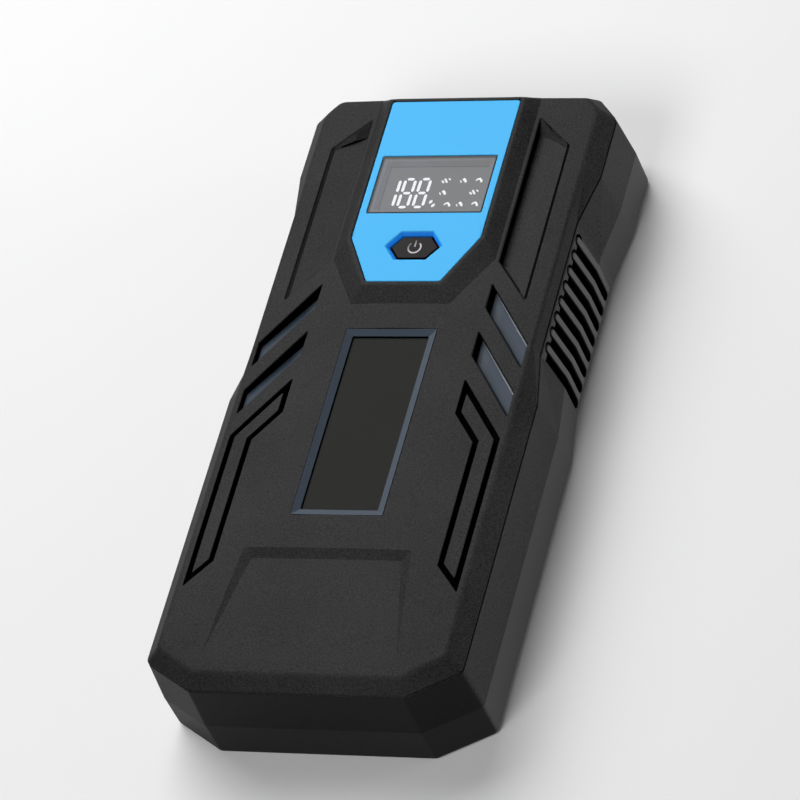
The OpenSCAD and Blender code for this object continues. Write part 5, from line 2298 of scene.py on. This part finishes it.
@dataclass
class Innards:
    """CAD nodes whose shape is right and that get their finish here."""

    shop: Workshop
    finishes: dict[str, str] = field(default_factory=lambda: {
        "display_board": "board_green", "switch_plunger": "plunger_ivory",
        "tact_switch": "switch_black", "cell_1": "cell_foil", "cell_2": "cell_foil",
        "cell_3": "cell_foil", "cell_pads": "pad_foam", "cell_tabs": "tab_nickel",
        "pack_board": "board_green", "main_board": "board_green",
        "power_inductor": "ferrite_grey", "capacitors": "sleeve_black",
        "power_transistors": "chip_black", "positive_lead": "lead_red",
        "negative_lead": "lead_black", "display_ribbon": "ribbon_film",
        "jump_socket": "socket_blue", "jump_contacts": "contact_brass",
        "usb_a_port": "port_steel", "usb_c_port": "port_steel",
        "torch_reflector": "reflector_chrome", "torch_board": "torch_white",
        "cover_pin": "port_steel", "case_screws": "screw_steel",
        "board_screws": "screw_steel"})

    def build(self) -> None:
        """Dresses the nodes."""
        for name, finish in self.finishes.items():
            self.shop.palette.dress(self.shop.nodes[name], finish)
            LOG.info("dressed %s", name)


# ---------------------------------------------------------------- studio


@dataclass
class Studio:
    """Floor, light and camera."""

    eye: Place = (544.15, -739.91, 1038.34)
    right: Place = (0.91828, 0.23895, -0.3157)
    up: Place = (-0.00686, 0.80684, 0.59073)
    lens: float = 239.4
    floor_tone: Colour = srgb(238, 238, 238)
    bounce: Colour = (0.34, 0.34, 0.345)
    far_tone: Colour = (0.8, 0.8, 0.8)
    room_tone: Colour = (0.9, 0.9, 0.9)
    sky_tone: Colour = (0.95, 0.97, 1.0)
    sky: float = 0.03
    target: Place = (0.0, 0.0, 15.0)
    floor_size: float = 8000.0
    floor_drop: float = 0.1
    far: Point = (0.32, 1.1)
    lamps: tuple[tuple[str, Place, float, float], ...] = (
        ("key", (-400, 600, 830), 900, 12.4), ("front", (-150, -660, 770), 460, 4.4),
        ("kicker", (860, 180, 60), 400, 3.2), ("rear", (-560, 760, 260), 500, 0.3),
        ("under", (0, 0, -800), 500, 2.4))

    def build(self) -> None:
        """Sets up the studio."""
        bpy.context.scene.view_settings.view_transform = "Standard"
        self.camera()
        self.floor()
        self.world()
        for lamp in self.lamps:
            self.lamp(*lamp)

    def camera(self) -> None:
        """Camera at the view of the render."""
        data = bpy.data.cameras.new("camera")
        data.lens = self.lens
        data.sensor_width = 36
        data.clip_end = 20
        camera = bpy.data.objects.new("camera", data)
        right, up = Vector(self.right).normalized(), Vector(self.up)
        back = right.cross(up).normalized()
        up = back.cross(right)
        turn = Matrix((right, up, back)).transposed().to_4x4()
        camera.matrix_world = Matrix.Translation(Vector(self.eye) * MM) @ turn
        bpy.context.scene.collection.objects.link(camera)
        bpy.context.scene.camera = camera

    def floor(self) -> None:
        """Pale floor that fades into the room far off, and is clear from below."""
        bpy.ops.object.select_all(action="DESELECT")
        bpy.ops.mesh.primitive_plane_add(size=self.floor_size * MM,
                                         location=(0, 0, -self.floor_drop * MM))
        plane = bpy.context.object
        plane.name = "floor"
        shade = Shade("floor_pale")
        cloud = shade.noise(180.0, 3.0)
        tone = shade.mix(cloud, scaled(self.floor_tone, 0.97), self.floor_tone)
        seen, glossy, through = (
            shade.node("ShaderNodeLightPath", {}, {}, f"Is {ray} Ray")
            for ray in ("Camera", "Glossy", "Transmission"))
        seen = shade.ramp(seen + glossy + through, 0, 1)
        away = shade.node("ShaderNodeVectorMath", {"operation": "LENGTH"}, {0: shade.place},
                          "Value")
        glow = shade.mix(shade.ramp(away, *self.far) * seen, (0.0, 0.0, 0.0), self.far_tone)
        surface = shade.principled({
            "Base Color": shade.mix(seen, self.bounce, tone), "Roughness": 0.75,
            "Specular IOR Level": 0.2, "Emission Color": glow, "Emission Strength": 1.0})
        under = shade.node("ShaderNodeNewGeometry", {}, {}, "Backfacing").at_least(
            shade.node("ShaderNodeLightPath", {}, {}, "Is Shadow Ray"))
        clear = shade.node("ShaderNodeBsdfTransparent", {}, {})
        shade.node("ShaderNodeOutputMaterial", {}, {
            "Surface": shade.mixed(under, surface, clear)})
        plane.data.materials.append(shade.owner)

    def world(self) -> None:
        """Even light from all round, pale to the eye."""
        shade = Shade("room", bpy.data.worlds)
        bpy.context.scene.world = shade.owner
        light, seen = (
            shade.node("ShaderNodeBackground", {}, {"Color": (*tone, 1.0), "Strength": strength})
            for tone, strength in ((self.sky_tone, self.sky), (self.room_tone, 1.0)))
        rays = shade.node("ShaderNodeLightPath", {}, {}, "Is Camera Ray")
        shade.node("ShaderNodeOutputWorld", {}, {0: shade.mixed(rays, light, seen)})

    def lamp(self, name: str, place: Place, size: float, power: float) -> None:
        """Soft lamp that looks at the pack.

        Args:
            name: Name of the lamp.
            place: Where it stands, in millimetres.
            size: Width of its face in millimetres.
            power: Power in watts.
        """
        data = bpy.data.lights.new(name, "AREA")
        data.size = size * MM
        data.energy = power
        lamp = bpy.data.objects.new(name, data)
        lamp.location = Vector(place) * MM
        aim = Vector(self.target) - Vector(place)
        lamp.rotation_euler = aim.to_track_quat("-Z", "Y").to_euler()
        bpy.context.scene.collection.objects.link(lamp)


def main() -> None:
    """Builds the pack's sub-assemblies in order."""
    logging.basicConfig(level=logging.INFO, format="%(name)s: %(message)s")
    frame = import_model()
    Studio().build()
    shop = Workshop(Bench(), Palette(), frame["nodes"])
    for part in (FrontShell(shop), RearShell(shop), ControlPanel(shop), PowerButton(shop),
                 Trim(shop), OutputEnd(shop), Innards(shop)):
        part.build()


if __name__ == "__main__":
    main()
